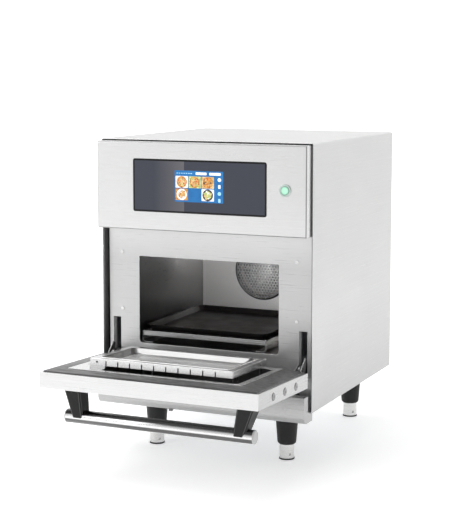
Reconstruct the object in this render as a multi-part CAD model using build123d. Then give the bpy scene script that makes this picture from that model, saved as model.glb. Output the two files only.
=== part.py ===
from build123d import *
from math import cos, radians, sin
import os

# Speed oven standing with its drop-down door open.
# X to the right, Y to the back, Z up. All lengths in millimetres.
# While it is built, Y = 0 is the front edge of the housing and Z = 0 is the floor.

# Housing
width = 470.0
equipment_bay = 169.0
height = 535.0
leg_height = 121.0
skin = 1.2
skin_bend = 4.0
plate = 1.5
foot_flange = 14.0
rear_inset = 1.8
overrun = 10.0
seam = 0.3

# Front plate round the chamber
recess = 15.7
plate_gap = 7.0
opening_width = 314.0
opening_height = 183.4
opening_bottom = 108.0
opening_radius = 8.0
opening_top_radius = 3.0
slot_width = 17.6
slot_offset = 209.5
slot_top = 160.0
slot_bottom = 52.0
plate_return = 18.0
bulkhead_width = 400.0
bulkhead_height = 140.0
intake_width = 400.0
intake_height = 24.0
intake_sill = 6.0
vent_length = 62.0
vent_width = 5.0
vent_pitch = 92.0
vent_rows = 3
vent_start = 106.0
front_screw_offset = 196.0
front_screw_high = 298.5
front_screw_low = 178.5
front_screw_diameter = 7.0
front_screw_head = 1.6

# Control panel
panel_stand = 26.0
panel_gap = 4.0
panel_bottom = 352.0
panel_top_gap = 2.3
panel_bend = 2.5
glass_width = 294.0
glass_height = 107.0
glass_middle = 443.5
glass_radius = 4.0
glass_proud = 0.3
glass_clearance = 0.3
carrier_border = 9.0
carrier_thickness = 2.0
display_width = 120.7
display_height = 75.8
display_thickness = 6.8
display_clearance = 0.4
board_width = 236.0
board_height = 92.0
board_thickness = 1.6
chip_size = 18.0
chip_height = 2.4
socket_length = 30.0
socket_width = 9.0
socket_height = 11.0
board_margin = 12.0

# Push button
button_offset = 186.5
bezel_diameter = 25.5
bezel_proud = 2.0
bezel_chamfer = 0.8
barrel_diameter = 22.0
barrel_length = 24.0
barrel_clearance = 0.15
barrel_floor = 2.0
cap_diameter = 17.0
cap_play = 0.05
cap_proud = 0.6
cap_length = 16.0
cap_edge = 0.6
nut_across = 27.0
nut_thickness = 4.0
contact_width = 16.0
contact_depth = 12.0

# Lower front cover with its filter
cover_stand = 32.0
cover_top = 37.0
cover_drop = 17.5
cover_return = 21.0
cover_tail = 14.0
cover_lip = 13.5
cover_bend = 16.0
cover_cap = 22.0
filter_width = 396.0
filter_height = 22.0
filter_depth = 9.0
filter_frame = 5.0
filter_gap = 0.4
filter_bar = 1.6
filter_bar_pitch = 24.0
filter_mat = 2.0
filter_arm_width = 18.0
filter_arm_level = 24.0
filter_arm_offset = 130.0

# Chamber
chamber_lip = 3.0
chamber_back = 331.0
chamber_sheet = 1.0
chamber_flange = 12.0
blanket = 17.0
blanket_clearance = 0.3
grille_x = -11.0
grille_z = 226.0
grille_radius = 66.0
grille_ring_width = 7.0
grille_ring_rise = 3.0
grille_crown_share = 1.3
grille_edge_share = 0.33
grille_sheet = 1.0
grille_cone = 8.0
grille_hub_radius = 11.0
grille_hub_rise = 3.0
grille_hole = 10.0
grille_pitch = 16.0
grille_border = 7.0
grille_corners = 6

# Fan behind the chamber
duct_width = 300.0
duct_height = 176.0
duct_depth = 50.0
duct_radius = 30.0
duct_sheet = 1.2
fan_diameter = 100.0
fan_start = 12.0
fan_width = 26.0
fan_blades = 12
fan_blade = 1.4
fan_disc = 1.6
fan_hub = 24.0
blade_root_share = 0.42
shaft_diameter = 8.0
shaft_play = 0.05
shaft_grip = 22.0
heater_tube = 6.0
heater_loop = 112.0
heater_sides = 8
heater_first = 14.0
heater_stem = 5.0
heater_stem_gap = 0.3
heater_tail = 34.0
motor_size = 84.0
motor_length = 36.0
motor_neck = 34.0
motor_neck_length = 10.0
motor_foot = 3.0
motor_foot_size = 100.0
motor_corner = 12.0
motor_coil_width = 44.0
motor_coil_height = 30.0
motor_coil_length = 52.0
motor_bell = 40.0
motor_bell_length = 14.0

# Microwave parts above and behind the chamber
guide_width = 86.0
guide_height = 40.0
guide_length = 190.0
guide_start = 130.0
guide_sheet = 1.5
tube_body_width = 94.0
tube_body_depth = 78.0
tube_body_height = 66.0
tube_body_radius = 6.0
tube_fins = 7
tube_fin_thickness = 1.2
tube_fin_cut = 9.0
tube_cap_diameter = 19.0
tube_cap_height = 16.0
tube_box_height = 24.0
transformer_width = 104.0
transformer_depth = 84.0
transformer_height = 88.0
transformer_x = -150.0
transformer_gap = 24.0
coil_overhang = 11.0
coil_height_share = 0.42
coil_low_share = 0.3
coil_high_share = 0.7
core_foot = 3.0
capacitor_width = 54.0
capacitor_depth = 34.0
capacitor_height = 82.0
capacitor_x = 60.0
capacitor_tab = 9.0
capacitor_tab_width = 6.0
capacitor_tab_thickness = 1.0
shelf_level = 400.0
shelf_front = 150.0
shelf_return = 20.0
relay_board_width = 190.0
relay_board_depth = 120.0
relay_size = 22.0
relay_height = 16.0
relay_count = 6
spacer_height = 8.0
spacer_size = 6.0

# Cooling blower
blower_x = -20.0
blower_inset = 80.0
blower_diameter = 96.0
blower_width = 58.0
blower_wall = 1.6
blower_outlet = 46.0
blower_spiral = 16.0
wheel_diameter = 76.0
wheel_width = 40.0
wheel_blades = 12
wheel_blade = 1.0
wheel_ring = 9.0
wheel_disc = 2.0
wheel_hub = 18.0
blower_motor_diameter = 52.0
blower_motor_length = 34.0
blower_shaft = 6.0
blower_intake = 58.0
blower_foot = 60.0
blower_bevel = 3.2

# Rear side
louvre_length = 140.0
louvre_height = 5.0
louvre_pitch = 17.0
louvre_rows = 8
louvre_columns = 2
louvre_column_pitch = 170.0
louvre_first = 190.0
outlet_width = 130.0
outlet_height = 46.0
outlet_level = 455.0
outlet_x = -100.0
outlet_rise = 20.0
outlet_bars = 5
outlet_bar = 2.4
gland_x = 150.0
gland_level = 60.0
gland_diameter = 26.0
gland_length = 20.0
gland_bore = 12.0
gland_flange = 34.0
gland_flange_thickness = 3.0
gland_edge = 2.0
rear_screw_diameter = 7.0
rear_screw_head = 1.8
rear_screw_inset = 14.0
rear_screw_rows = 4
screw_shank = 3.6
screw_grip = 2.0

# Door, open and resting on its stop
door_gap = 4.0
door_rear = 12.0
door_front = 262.0
door_depth = 31.3
door_tilt_deg = 2.57
door_level = 83.3
door_sheet = 1.2
door_bend = 1.5
door_lip = 6.0
hinge_rise = 1.5
seal_rise = 2.5
seal_top = 7.0
seal_skirt = 6.0
seal_sides = 40.0
seal_front = 24.0
seal_rear = 9.0
liner_thickness = 1.5
well_left = 118.0
well_right = 172.0
well_rear = 46.0
well_front = 221.0
well_radius = 5.0
choke_width = 306.0
choke_rear = 36.0
choke_front = 201.5
choke_top = 25.5
choke_skirt = 13.7
choke_sheet = 1.2
choke_radius = 3.0
choke_notch = 2.5
choke_notch_height = 9.5
choke_pitch = 26.0
choke_front_notches = 10
choke_side_notches = 5
choke_foot = 34.0
choke_hole = 4.0
choke_hole_offset = 137.0
pan_border = 13.0
pan_depth = 12.0
pan_slope = 16.0
pan_radius = 16.0
post_diameter = 4.0
post_inset = 4.0
post_near = 60.0
post_far = 170.0
door_fill_clearance = 0.5
side_screw_diameter = 16.0
side_screw_first = 75.0
side_screw_pitch = 57.0
side_screw_count = 3
side_screw_level = 16.4
side_screw_depth = 3.0

# Handle
handle_diameter = 27.0
handle_length = 405.0
handle_cap = 3.0
handle_cap_edge = 1.5
handle_reach = 202.0
handle_stand = 62.0
bracket_inset = 19.0
bracket_tip_width = 23.5
bracket_flare = 22.5
bracket_flare_inner = 9.0
bracket_base = 36.0
bracket_tip = 29.0
bracket_edge = 3.0

# Hinges
arm_sheet = 1.6
arm_width = 14.6
arm_length = 112.0
arm_boss = 9.0
arm_drop = 22.0
tail_reach = 12.0
tail_rise = 23.7
short_tail_rise = 10.0
tail_back = 9.0
arm_clearance = 0.6
hinge_pin = 7.0
hinge_play = 0.05
link_sheet = 5.0
link_height = 16.0
case_depth = 96.0
case_height = 112.0
case_sheet = 1.5
case_width = 22.0
spring_diameter = 12.0
spring_wire = 2.0
spring_turns = 3
spring_pitch = 18.0
spring_level = 118.0

# Door switches
switch_width = 12.0
switch_height = 18.0
switch_depth = 14.0
switch_start = 18.0
switch_lever = 0.8
switch_reach = 3.0

# Rack and baking tray
rack_width = 281.4
rack_x = -15.3
rack_front = 26.0
rack_length = 290.0
rack_top = 132.5
rack_sheet = 1.5
rack_nose = 10.5
rack_nose_gap = 1.6
rack_bend = 8.0
rack_foot = 16.0
rack_seat = 0.2
tray_width = 270.0
tray_length = 262.0
tray_depth = 12.0
tray_sheet = 1.4
tray_radius = 14.0
tray_flare = 7.0
tray_rim = 4.0
tray_start = 8.0
tray_seat = 0.2
rack_slot_length = 60.0
rack_slot_width = 9.0
rack_slot_rows = 3

# Legs
leg_offset = 150.0
leg_front = 80.0
leg_rear_inset = 29.0
cup_top = 53.0
cup_bottom = 39.0
cup_height = 90.0
cup_wall = 3.0
cup_stud = 5.0
cup_edge = 3.0
foot_diameter = 31.0
foot_play = 0.1
foot_grip = 46.0
foot_pad = 3.2
foot_pad_diameter = 32.5
foot_drill = 6.0
foot_drill_depth = 7.0
foot_drill_turn = 45.0
foot_drill_level = 9.0

# Places worked out from the sizes above
depth = chamber_back + equipment_bay
floor_z = leg_height
top_z = leg_height + height
half = width / 2
inner_half = half - skin
plate_half = inner_half - plate_gap
panel_half = half - panel_gap
panel_low = floor_z + panel_bottom
panel_high = top_z - skin - panel_top_gap
opening_low = floor_z + opening_bottom
opening_high = opening_low + opening_height
opening_mid = (opening_low + opening_high) / 2
glass_z = floor_z + glass_middle
plate_back = recess + plate
chamber_half = opening_width / 2 + chamber_lip
chamber_low = opening_low
chamber_high = opening_high + chamber_lip
base_top = floor_z + skin + plate
rear_y = depth - rear_inset
leg_rear = depth - leg_rear_inset
blower_y = depth - blower_inset
panel_front = -panel_stand
panel_inside = panel_front + skin
carrier_back = panel_inside + carrier_thickness
display_back = panel_inside + display_thickness
door_half = half - door_gap
tilt = radians(door_tilt_deg)
pivot_y = hinge_rise * sin(tilt)
pivot_z = floor_z + door_level + hinge_rise * cos(tilt)
duct_back = chamber_back + chamber_sheet + duct_depth
grille_at = floor_z + grille_z
bracket_tip_outer = handle_length / 2 - bracket_inset
bracket_tip_inner = bracket_tip_outer - bracket_tip_width
bracket_outer = bracket_tip_outer + bracket_flare
bracket_inner = bracket_tip_inner + bracket_flare_inner


def block(x_low, x_high, y_low, y_high, z_low, z_high):
    """A plain block between two limits on each axis."""
    size = (x_high - x_low, y_high - y_low, z_high - z_low)
    middle = ((x_low + x_high) / 2, (y_low + y_high) / 2, (z_low + z_high) / 2)
    return Pos(*middle) * Box(*size)


def prism_x(points, x_low, x_high):
    """An outline given as (y, z) points, pulled along X."""
    face = make_face(Polyline(*points, close=True))
    face = Plane.YZ.offset(x_low) * face
    return extrude(face, x_high - x_low, dir=(1, 0, 0))


def prism_y(points, y_low, y_high):
    """An outline given as (x, z) points, pulled along Y."""
    wires = Polyline(*[(x, y_low, z) for x, z in points], close=True)
    return extrude(make_face(wires), y_high - y_low, dir=(0, 1, 0))


def slab_y(width_x, height_z, radius, y_low, y_high, x_mid=0.0, z_mid=0.0):
    """A slab facing the front with round corners."""
    face = Plane.XZ * RectangleRounded(width_x, height_z, radius)
    return Pos(x_mid, y_low, z_mid) * extrude(face, y_high - y_low, dir=(0, 1, 0))


def rod_y(radius, y_low, y_high, x_mid, z_mid):
    """A round rod along Y."""
    rod = Cylinder(radius, y_high - y_low, rotation=(90, 0, 0))
    return Pos(x_mid, (y_low + y_high) / 2, z_mid) * rod


def rod_x(radius, x_low, x_high, y_mid, z_mid):
    """A round rod along X."""
    rod = Cylinder(radius, x_high - x_low, rotation=(0, 90, 0))
    return Pos((x_low + x_high) / 2, y_mid, z_mid) * rod


def rod_z(radius, z_low, z_high, x_mid, y_mid):
    """A round rod along Z."""
    return Pos(x_mid, y_mid, (z_low + z_high) / 2) * Cylinder(radius, z_high - z_low)


def on_door(shape):
    """The door is drawn closed flat (X, reach, height) and leaned to its open place."""
    # reach runs from the pivot line to the door's top edge, height to the inner side
    lean = Location((0, 0, floor_z + door_level), (-door_tilt_deg, 0, 180))
    return lean * shape


def turned(x_low, x_high, reach_low, reach_high, rise_low, rise_high):
    """A block in the door's own axes, with X kept to the oven's right."""
    return block(-x_high, -x_low, reach_low, reach_high, rise_low, rise_high)


def housing_cover():
    outline = [
        (-half, floor_z),
        (-half, top_z),
        (half, top_z),
        (half, floor_z),
    ]
    shell = prism_y(outline, 0, depth)
    top_edges = shell.edges().filter_by(Axis.Y).group_by(Axis.Z)[-1]
    shell = fillet(top_edges, skin_bend)
    hollow = block(
        -inner_half, inner_half, -overrun, depth + overrun, floor_z + skin, top_z - skin
    )
    hollow_edges = hollow.edges().filter_by(Axis.Y).group_by(Axis.Z)[-1]
    shell -= fillet(hollow_edges, skin_bend - skin)
    foot = half - foot_flange
    shell -= block(-foot, foot, -overrun, depth + overrun, floor_z - overrun, base_top)
    return shell


def base_plate():
    low = floor_z + skin
    floor = block(-inner_half, inner_half, seam, rear_y, low, base_top)
    back_low = rear_y - skin - plate
    back = block(-inner_half, inner_half, back_low, back_low + plate, low, base_top + plate_return)
    plate_part = floor + back
    for side in (-1, 1):
        for leg_y in (leg_front, leg_rear):
            plate_part -= rod_z(
                cup_stud, low - overrun, base_top + overrun, side * leg_offset, leg_y
            )
    vents = int(intake_width // vent_pitch)
    for i in range(vents):
        x = (i - (vents - 1) / 2) * vent_pitch
        for row in range(vent_rows):
            y = vent_start + row * louvre_pitch
            plate_part -= block(x - vent_length / 2, x + vent_length / 2, y, y + vent_width,
                                low - overrun, base_top + overrun)
    return plate_part


def rear_panel():
    low = base_top
    high = top_z - skin
    panel = block(-inner_half + seam, inner_half - seam, rear_y - skin, rear_y, low, high - seam)
    corners = panel.edges().filter_by(Axis.Y).group_by(Axis.Z)[-1]
    panel = fillet(corners, skin_bend - skin)
    for column in range(louvre_columns):
        x = (column - (louvre_columns - 1) / 2) * louvre_column_pitch
        for row in range(louvre_rows):
            z = floor_z + louvre_first + row * louvre_pitch
            panel -= block(x - louvre_length / 2, x + louvre_length / 2, rear_y - overrun,
                           rear_y + overrun, z - louvre_height / 2, z + louvre_height / 2)
    inner_w = outlet_width - 2 * outlet_bar
    inner_h = outlet_height - 2 * outlet_bar
    panel -= slab_y(
        inner_w, inner_h, outlet_bar, rear_y - overrun, rear_y + overrun,
        outlet_x, floor_z + outlet_level,
    )
    panel -= rod_y(gland_diameter / 2, rear_y - overrun, rear_y + overrun,
                   gland_x, floor_z + gland_level)
    return panel


def exhaust_hood():
    hood = slab_y(
        outlet_width, outlet_height, outlet_bar, rear_y, rear_y + outlet_rise,
        outlet_x, floor_z + outlet_level,
    )
    inner_w = outlet_width - 2 * outlet_bar
    inner_h = outlet_height - 2 * outlet_bar
    hood -= slab_y(
        inner_w, inner_h, outlet_bar / 2, rear_y - overrun, rear_y + outlet_rise + overrun,
        outlet_x, floor_z + outlet_level,
    )
    pitch = inner_h / (outlet_bars + 1)
    for i in range(outlet_bars):
        z = floor_z + outlet_level - inner_h / 2 + (i + 1) * pitch
        lean = [
            (rear_y, z - pitch / 2),
            (rear_y, z - pitch / 2 + skin),
            (rear_y + outlet_rise, z + skin),
            (rear_y + outlet_rise, z),
        ]
        hood += prism_x(lean, outlet_x - inner_w / 2, outlet_x + inner_w / 2)
    return hood


def front_plate():
    low = base_top
    high = top_z - skin - seam
    sill = glass_z - bulkhead_height / 2
    lintel = glass_z + bulkhead_height / 2
    body = block(-plate_half, plate_half, recess, plate_back, low, sill)
    edge = plate_half
    for side in (-1, 1):
        x_a, x_b = sorted((side * edge, side * (edge - plate)))
        body += block(x_a, x_b, recess, recess + plate_return, low, sill)
    body += block(-edge, edge, recess, recess + plate_return, low, low + plate)
    hole = slab_y(
        opening_width, opening_height, opening_radius, recess - overrun,
        plate_back + overrun, 0, opening_mid,
    )
    square_top = block(
        -opening_width / 2, opening_width / 2, recess - overrun, plate_back + overrun,
        opening_mid, opening_high,
    )
    top_edges = square_top.edges().filter_by(Axis.Y).group_by(Axis.Z)[-1]
    body -= hole + fillet(top_edges, opening_top_radius)
    for side in (-1, 1):
        x = side * slot_offset
        body -= block(
            x - slot_width / 2, x + slot_width / 2, recess - overrun, plate_back + overrun,
            floor_z + slot_bottom, floor_z + slot_top,
        )
    intake_mid = low + intake_sill + intake_height / 2
    body -= slab_y(
        intake_width, intake_height, opening_top_radius, recess - overrun,
        plate_back + overrun, 0, intake_mid,
    )
    # frame behind the control panel, one piece: a rail on two uprights, welded on the plate
    frame = block(-bulkhead_width / 2, bulkhead_width / 2, recess, plate_back, lintel, high)
    for side in (-1, 1):
        x_a, x_b = sorted((side * edge, side * bulkhead_width / 2))
        frame += block(x_a, x_b, recess, plate_back, sill, high)
        x_a, x_b = sorted((side * edge, side * (edge - plate)))
        frame += block(x_a, x_b, recess, recess + plate_return, sill, high)
    return [body, frame]


def front_screws():
    heads = []
    for side in (-1, 1):
        for level in (front_screw_high, front_screw_low):
            x = side * front_screw_offset
            z = floor_z + level
            heads.append(
                rod_y(front_screw_diameter / 2, recess - front_screw_head, recess, x, z)
            )
    return heads


def control_panel():
    body = block(-panel_half, panel_half, panel_front, recess, panel_low, panel_high)
    front_edges = body.faces().sort_by(Axis.Y)[0].edges()
    body = fillet(front_edges, panel_bend)
    hollow = block(
        -panel_half + skin, panel_half - skin, panel_inside, recess + overrun,
        panel_low + skin, panel_high - skin,
    )
    hollow_edges = hollow.faces().sort_by(Axis.Y)[0].edges()
    body -= fillet(hollow_edges, panel_bend - skin)
    body -= slab_y(
        glass_width + 2 * glass_clearance, glass_height + 2 * glass_clearance,
        glass_radius + glass_clearance, panel_front - overrun, panel_inside + overrun,
        0, glass_z,
    )
    body -= rod_y(
        barrel_diameter / 2 + barrel_clearance, panel_front - overrun,
        panel_inside + overrun, button_offset, glass_z,
    )
    return body


def glass_panel():
    glass = slab_y(
        glass_width, glass_height, glass_radius, panel_front - glass_proud, panel_inside,
        0, glass_z,
    )
    rim = glass.faces().sort_by(Axis.Y)[0].edges()
    return chamfer(rim, glass_proud)


def display_carrier():
    outer_w = glass_width + 2 * carrier_border
    outer_h = glass_height + 2 * carrier_border
    body = slab_y(outer_w, outer_h, glass_radius, panel_inside, carrier_back, 0, glass_z)
    body -= slab_y(
        display_width + 2 * display_clearance, display_height + 2 * display_clearance,
        display_clearance, panel_inside - overrun, carrier_back + overrun, 0, glass_z,
    )
    return body


def display():
    body = slab_y(
        display_width, display_height, display_clearance, panel_inside, display_back,
        0, glass_z,
    )
    return body


def control_board():
    back = display_back + board_thickness
    board = block(
        -board_width / 2, board_width / 2, display_back, back,
        glass_z - board_height / 2, glass_z + board_height / 2,
    )
    for i in (-1, 0, 1):
        x = i * (chip_size + board_margin)
        board += block(
            x - chip_size / 2, x + chip_size / 2, back, back + chip_height,
            glass_z - chip_size / 2, glass_z + chip_size / 2,
        )
    for side in (-1, 1):
        x = side * (board_width / 2 - board_margin - socket_length / 2)
        board += block(
            x - socket_length / 2, x + socket_length / 2, back, back + socket_height,
            glass_z - board_height / 2, glass_z - board_height / 2 + socket_width,
        )
    return board


def button_bezel():
    radius = barrel_diameter / 2
    bore = cap_diameter / 2
    end = panel_front + barrel_length
    cuts = [
        (bore, panel_front - bezel_proud + bezel_chamfer),
        (bore + bezel_chamfer, panel_front - bezel_proud),
        (bezel_diameter / 2 - bezel_chamfer, panel_front - bezel_proud),
        (bezel_diameter / 2, panel_front - bezel_proud + bezel_chamfer),
        (bezel_diameter / 2, panel_front),
        (radius, panel_front),
        (radius, end),
        (0, end),
        (0, end - barrel_floor),
        (bore, end - barrel_floor),
    ]
    face = make_face(Polyline(*[(r, y, 0) for r, y in cuts], close=True))
    return Pos(button_offset, 0, glass_z) * revolve(face, Axis.Y)


def button_nut():
    nut = extrude(Plane.XZ * RegularPolygon(nut_across / 2, 6, major_radius=False),
                  nut_thickness, dir=(0, 1, 0))
    nut = Pos(button_offset, panel_inside, glass_z) * nut
    return nut - rod_y(
        barrel_diameter / 2, panel_inside - overrun, panel_inside + overrun,
        button_offset, glass_z,
    )


def button_contact():
    end = panel_front + barrel_length
    return block(
        button_offset - contact_width / 2, button_offset + contact_width / 2, end,
        end + contact_depth, glass_z - contact_width / 2, glass_z + contact_width / 2,
    )


def power_button():
    front = panel_front - bezel_proud - cap_proud
    cap = rod_y(cap_diameter / 2 - cap_play, front, front + cap_length,
                button_offset, glass_z)
    return chamfer(cap.faces().sort_by(Axis.Y)[0].edges(), cap_edge)


def lower_cover():
    front = -cover_stand
    top = floor_z + cover_top
    low = floor_z - cover_drop
    return_y = front + cover_return
    bend = cover_bend
    inner = bend - skin
    centre_y = front + bend
    centre_z = low + bend
    mid = sin(radians(45))
    with BuildSketch(Plane.YZ) as outline:
        with BuildLine():
            Polyline((return_y, top), (front, top), (front, centre_z))
            ThreePointArc(
                (front, centre_z),
                (centre_y - bend * mid, centre_z - bend * mid),
                (centre_y, low),
            )
            Polyline(
                (centre_y, low), (cover_tail, low), (cover_tail, low + cover_lip),
                (cover_tail - skin, low + cover_lip), (cover_tail - skin, low + skin),
                (centre_y, low + skin),
            )
            ThreePointArc(
                (centre_y, low + skin),
                (centre_y - inner * mid, centre_z - inner * mid),
                (front + skin, centre_z),
            )
            Polyline(
                (front + skin, centre_z), (front + skin, top - skin),
                (return_y, top - skin), (return_y, top),
            )
        make_face()
    body = Pos(-panel_half, 0, 0) * extrude(outline.sketch, 2 * panel_half, dir=(1, 0, 0))
    for side in (-1, 1):
        x_a, x_b = sorted((side * panel_half, side * (panel_half - skin)))
        body += block(x_a, x_b, front + skin / 2, return_y, centre_z, top - skin / 2)
        end = block(x_a, x_b, front, cover_tail, low, floor_z - seam)
        end += block(x_a, x_b, front, -seam, low, low + cover_cap)
        corner = end.edges().filter_by(Axis.X).sort_by(
            lambda edge: edge.center().Y + edge.center().Z)[0]
        body += fillet(corner, bend)
    for side in (-1, 1):
        x = side * filter_arm_offset
        y_end = recess - filter_gap - filter_depth
        body += block(
            x - filter_arm_width / 2, x + filter_arm_width / 2, front + skin / 2, y_end,
            low + filter_arm_level, low + filter_arm_level + skin,
        )
    return body


def air_filter():
    y_back = recess - filter_gap
    y_front = y_back - filter_depth
    mid = base_top + intake_sill + intake_height / 2
    outer = slab_y(filter_width + 2 * filter_frame, filter_height + 2 * filter_frame,
                   filter_frame, y_front, y_back, 0, mid)
    outer -= slab_y(filter_width, filter_height, filter_frame / 2,
                    y_front - overrun, y_back + overrun, 0, mid)
    count = int(filter_width // filter_bar_pitch)
    for i in range(count):
        x = (i - (count - 1) / 2) * filter_bar_pitch
        outer += block(x - filter_bar / 2, x + filter_bar / 2,
                       y_front + filter_bar, y_back - filter_bar,
                       mid - filter_height / 2, mid + filter_height / 2)
    outer += block(-filter_width / 2, filter_width / 2, y_back - filter_bar - filter_mat,
                   y_back - filter_bar, mid - filter_height / 2, mid + filter_height / 2)
    return outer


def chamber():
    low, high = chamber_low - chamber_sheet, chamber_high + chamber_sheet
    side = chamber_half + chamber_sheet
    mid = (low + high) / 2
    radius = opening_radius
    back = chamber_back + chamber_sheet
    body = slab_y(2 * side, high - low, radius + chamber_sheet, plate_back, back, 0, mid)
    body += slab_y(
        2 * (side + chamber_flange), high - low + 2 * chamber_flange, radius,
        plate_back, plate_back + chamber_sheet, 0, mid,
    )
    body -= slab_y(
        2 * chamber_half, chamber_high - chamber_low, radius, plate_back - overrun,
        chamber_back, 0, mid,
    )
    body -= rod_y(grille_radius - grille_ring_width, chamber_back - overrun,
                  back + overrun, grille_x, grille_at)
    return body


def chamber_blanket():
    low = chamber_low - chamber_sheet - blanket_clearance
    high = chamber_high + chamber_sheet + blanket_clearance
    side = chamber_half + chamber_sheet + blanket_clearance
    mid = (low + high) / 2
    start = plate_back + chamber_sheet
    end = chamber_back + chamber_sheet
    body = slab_y(2 * (side + blanket), high - low + 2 * blanket, blanket, start, end, 0, mid)
    body -= slab_y(2 * side, high - low, opening_radius, start - overrun, end + overrun, 0, mid)
    return body


def grille_ring():
    outer = grille_radius
    inner = grille_radius - grille_ring_width
    crown = [
        (inner, chamber_back),
        (inner, chamber_back - grille_ring_rise),
        ((inner + outer) / 2, chamber_back - grille_ring_rise * grille_crown_share),
        (outer, chamber_back - grille_ring_rise * grille_edge_share),
        (outer, chamber_back),
    ]
    face = make_face(Polyline(*[(r, y, 0) for r, y in crown], close=True))
    return Pos(grille_x, 0, grille_at) * revolve(face, Axis.Y)


def fan_grille():
    outer = grille_radius - grille_ring_width
    back = chamber_back
    hub = grille_hub_radius
    cone = grille_cone
    flat = outer - grille_border
    raised = back - cone
    profile = [
        (0, raised - grille_hub_rise),
        (hub, raised - grille_hub_rise),
        (hub + grille_hub_rise, raised),
        (flat, raised),
        (outer, back - grille_sheet),
        (outer, back),
        (flat, raised + grille_sheet),
        (hub + grille_hub_rise, raised + grille_sheet),
        (hub, raised - grille_hub_rise + grille_sheet),
        (0, raised - grille_hub_rise + grille_sheet),
    ]
    face = make_face(Polyline(*[(r, y, 0) for r, y in profile], close=True))
    disc = revolve(face, Axis.Y)
    holes = []
    reach = int(outer // grille_pitch) + 1
    inner_limit = hub + grille_hub_rise + grille_hole / 2
    for row in range(-reach, reach + 1):
        for column in range(-reach, reach + 1):
            x = (column + (row % 2) / 2) * grille_pitch
            z = row * grille_pitch * sin(radians(60))
            distance = (x * x + z * z) ** 0.5
            if inner_limit < distance < flat - grille_hole / 2:
                face = Pos(x, raised - overrun, z) * (
                    Plane.XZ * RegularPolygon(grille_hole / 2, grille_corners)
                )
                holes.append(extrude(face, grille_sheet + 2 * overrun, dir=(0, 1, 0)))
    disc -= holes
    return Pos(grille_x, 0, grille_at) * disc


def fan_duct():
    start = chamber_back + chamber_sheet
    mid = (chamber_low + chamber_high) / 2
    body = slab_y(duct_width, duct_height, duct_radius, start, duct_back, 0, mid)
    body -= slab_y(
        duct_width - 2 * duct_sheet, duct_height - 2 * duct_sheet,
        duct_radius - duct_sheet, start - overrun, duct_back - duct_sheet, 0, mid,
    )
    body -= rod_y(shaft_diameter, duct_back - overrun, duct_back + overrun,
                  grille_x, grille_at)
    for side in (-1, 1):
        x = grille_x + side * heater_loop / 2
        body -= rod_y(heater_stem / 2 + heater_stem_gap, duct_back - overrun,
                      duct_back + overrun, x, grille_at)
    return body


def fan_wheel():
    start = chamber_back + chamber_sheet + fan_start
    end = start + fan_width
    radius = fan_diameter / 2
    wheel = rod_y(radius, end - fan_disc, end, 0, 0)
    wheel += rod_y(fan_hub / 2, start, end, 0, 0)
    root = radius * blade_root_share
    for i in range(fan_blades):
        blade = block(root, radius - fan_disc, start, end - fan_disc / 2,
                      -fan_blade / 2, fan_blade / 2)
        wheel += Rot(0, i * 360 / fan_blades, 0) * blade
    wheel += rod_y(shaft_diameter / 2, start, duct_back + shaft_grip, 0, 0)
    return Pos(grille_x, 0, grille_at) * wheel


def heater():
    start = chamber_back + chamber_sheet + heater_first
    section = Pos(heater_loop / 2, start) * RegularPolygon(heater_tube / 2, heater_sides)
    body = Pos(grille_x, 0, grille_at) * revolve(section, Axis.Y)
    for side in (-1, 1):
        x = grille_x + side * heater_loop / 2
        body += rod_y(heater_stem / 2, start, duct_back + heater_tail, x, grille_at)
    return body


def fan_motor():
    start = duct_back
    body = rod_y(motor_neck / 2, start + motor_foot, start + motor_neck_length, 0, 0)
    body += slab_y(motor_foot_size, motor_foot_size, motor_neck / 2, start,
                   start + motor_foot, 0, 0)
    begin = start + motor_neck_length
    end = begin + motor_length
    # laminated core with its coil below and the bearing bell behind
    core = slab_y(motor_size, motor_size, motor_corner, begin, end, 0, 0)
    coil_y = (begin + end) / 2
    coil = block(
        -motor_coil_width / 2, motor_coil_width / 2, coil_y - motor_coil_length / 2,
        coil_y + motor_coil_length / 2, -motor_size / 2 - motor_coil_height / 2,
        -motor_size / 2 + motor_coil_height / 2,
    )
    bell = rod_y(motor_bell / 2, end, end + motor_bell_length, 0, 0)
    body += core + coil + bell
    body -= rod_y(shaft_diameter / 2 + shaft_play, start - overrun,
                  start + shaft_grip + shaft_diameter, 0, 0)
    return Pos(grille_x, 0, grille_at) * body


def wave_guide():
    low = chamber_high + chamber_sheet + blanket_clearance + blanket
    high = low + guide_height
    body = block(-guide_width / 2, guide_width / 2, guide_start,
                 guide_start + guide_length, low, high)
    wall = guide_sheet
    body -= block(
        -guide_width / 2 + wall, guide_width / 2 - wall, guide_start + wall,
        guide_start + guide_length - wall, low + wall, high - wall,
    )
    antenna_y = guide_start + guide_length - tube_body_depth / 2
    body -= rod_z(tube_cap_diameter, high - wall - seam, high + overrun, 0, antenna_y)
    return body


def magnetron():
    low = chamber_high + chamber_sheet + blanket_clearance + blanket + guide_height
    y_mid = guide_start + guide_length - tube_body_depth / 2
    high = low + tube_body_height
    half_w = tube_body_width / 2
    half_d = tube_body_depth / 2
    body = block(-half_w, half_w, y_mid - half_d, y_mid + half_d, low, high)
    body = fillet(body.edges().filter_by(Axis.Z), tube_body_radius)
    pitch = tube_body_height / (tube_fins + 1)
    for i in range(tube_fins):
        z = low + (i + 1) * pitch
        for side in (-1, 1):
            y_a, y_b = sorted((side * (half_d + overrun), side * (half_d - tube_fin_cut)))
            body -= block(
                -half_w + tube_fin_cut, half_w - tube_fin_cut, y_mid + y_a, y_mid + y_b,
                z - tube_fin_thickness * 2, z + tube_fin_thickness * 2,
            )
    body += rod_z(tube_cap_diameter / 2, low - tube_cap_height, low, 0, y_mid)
    body += block(
        -half_w / 2, half_w / 2, y_mid - half_d / 2, y_mid + half_d / 2,
        high, high + tube_box_height,
    )
    return body


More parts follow.
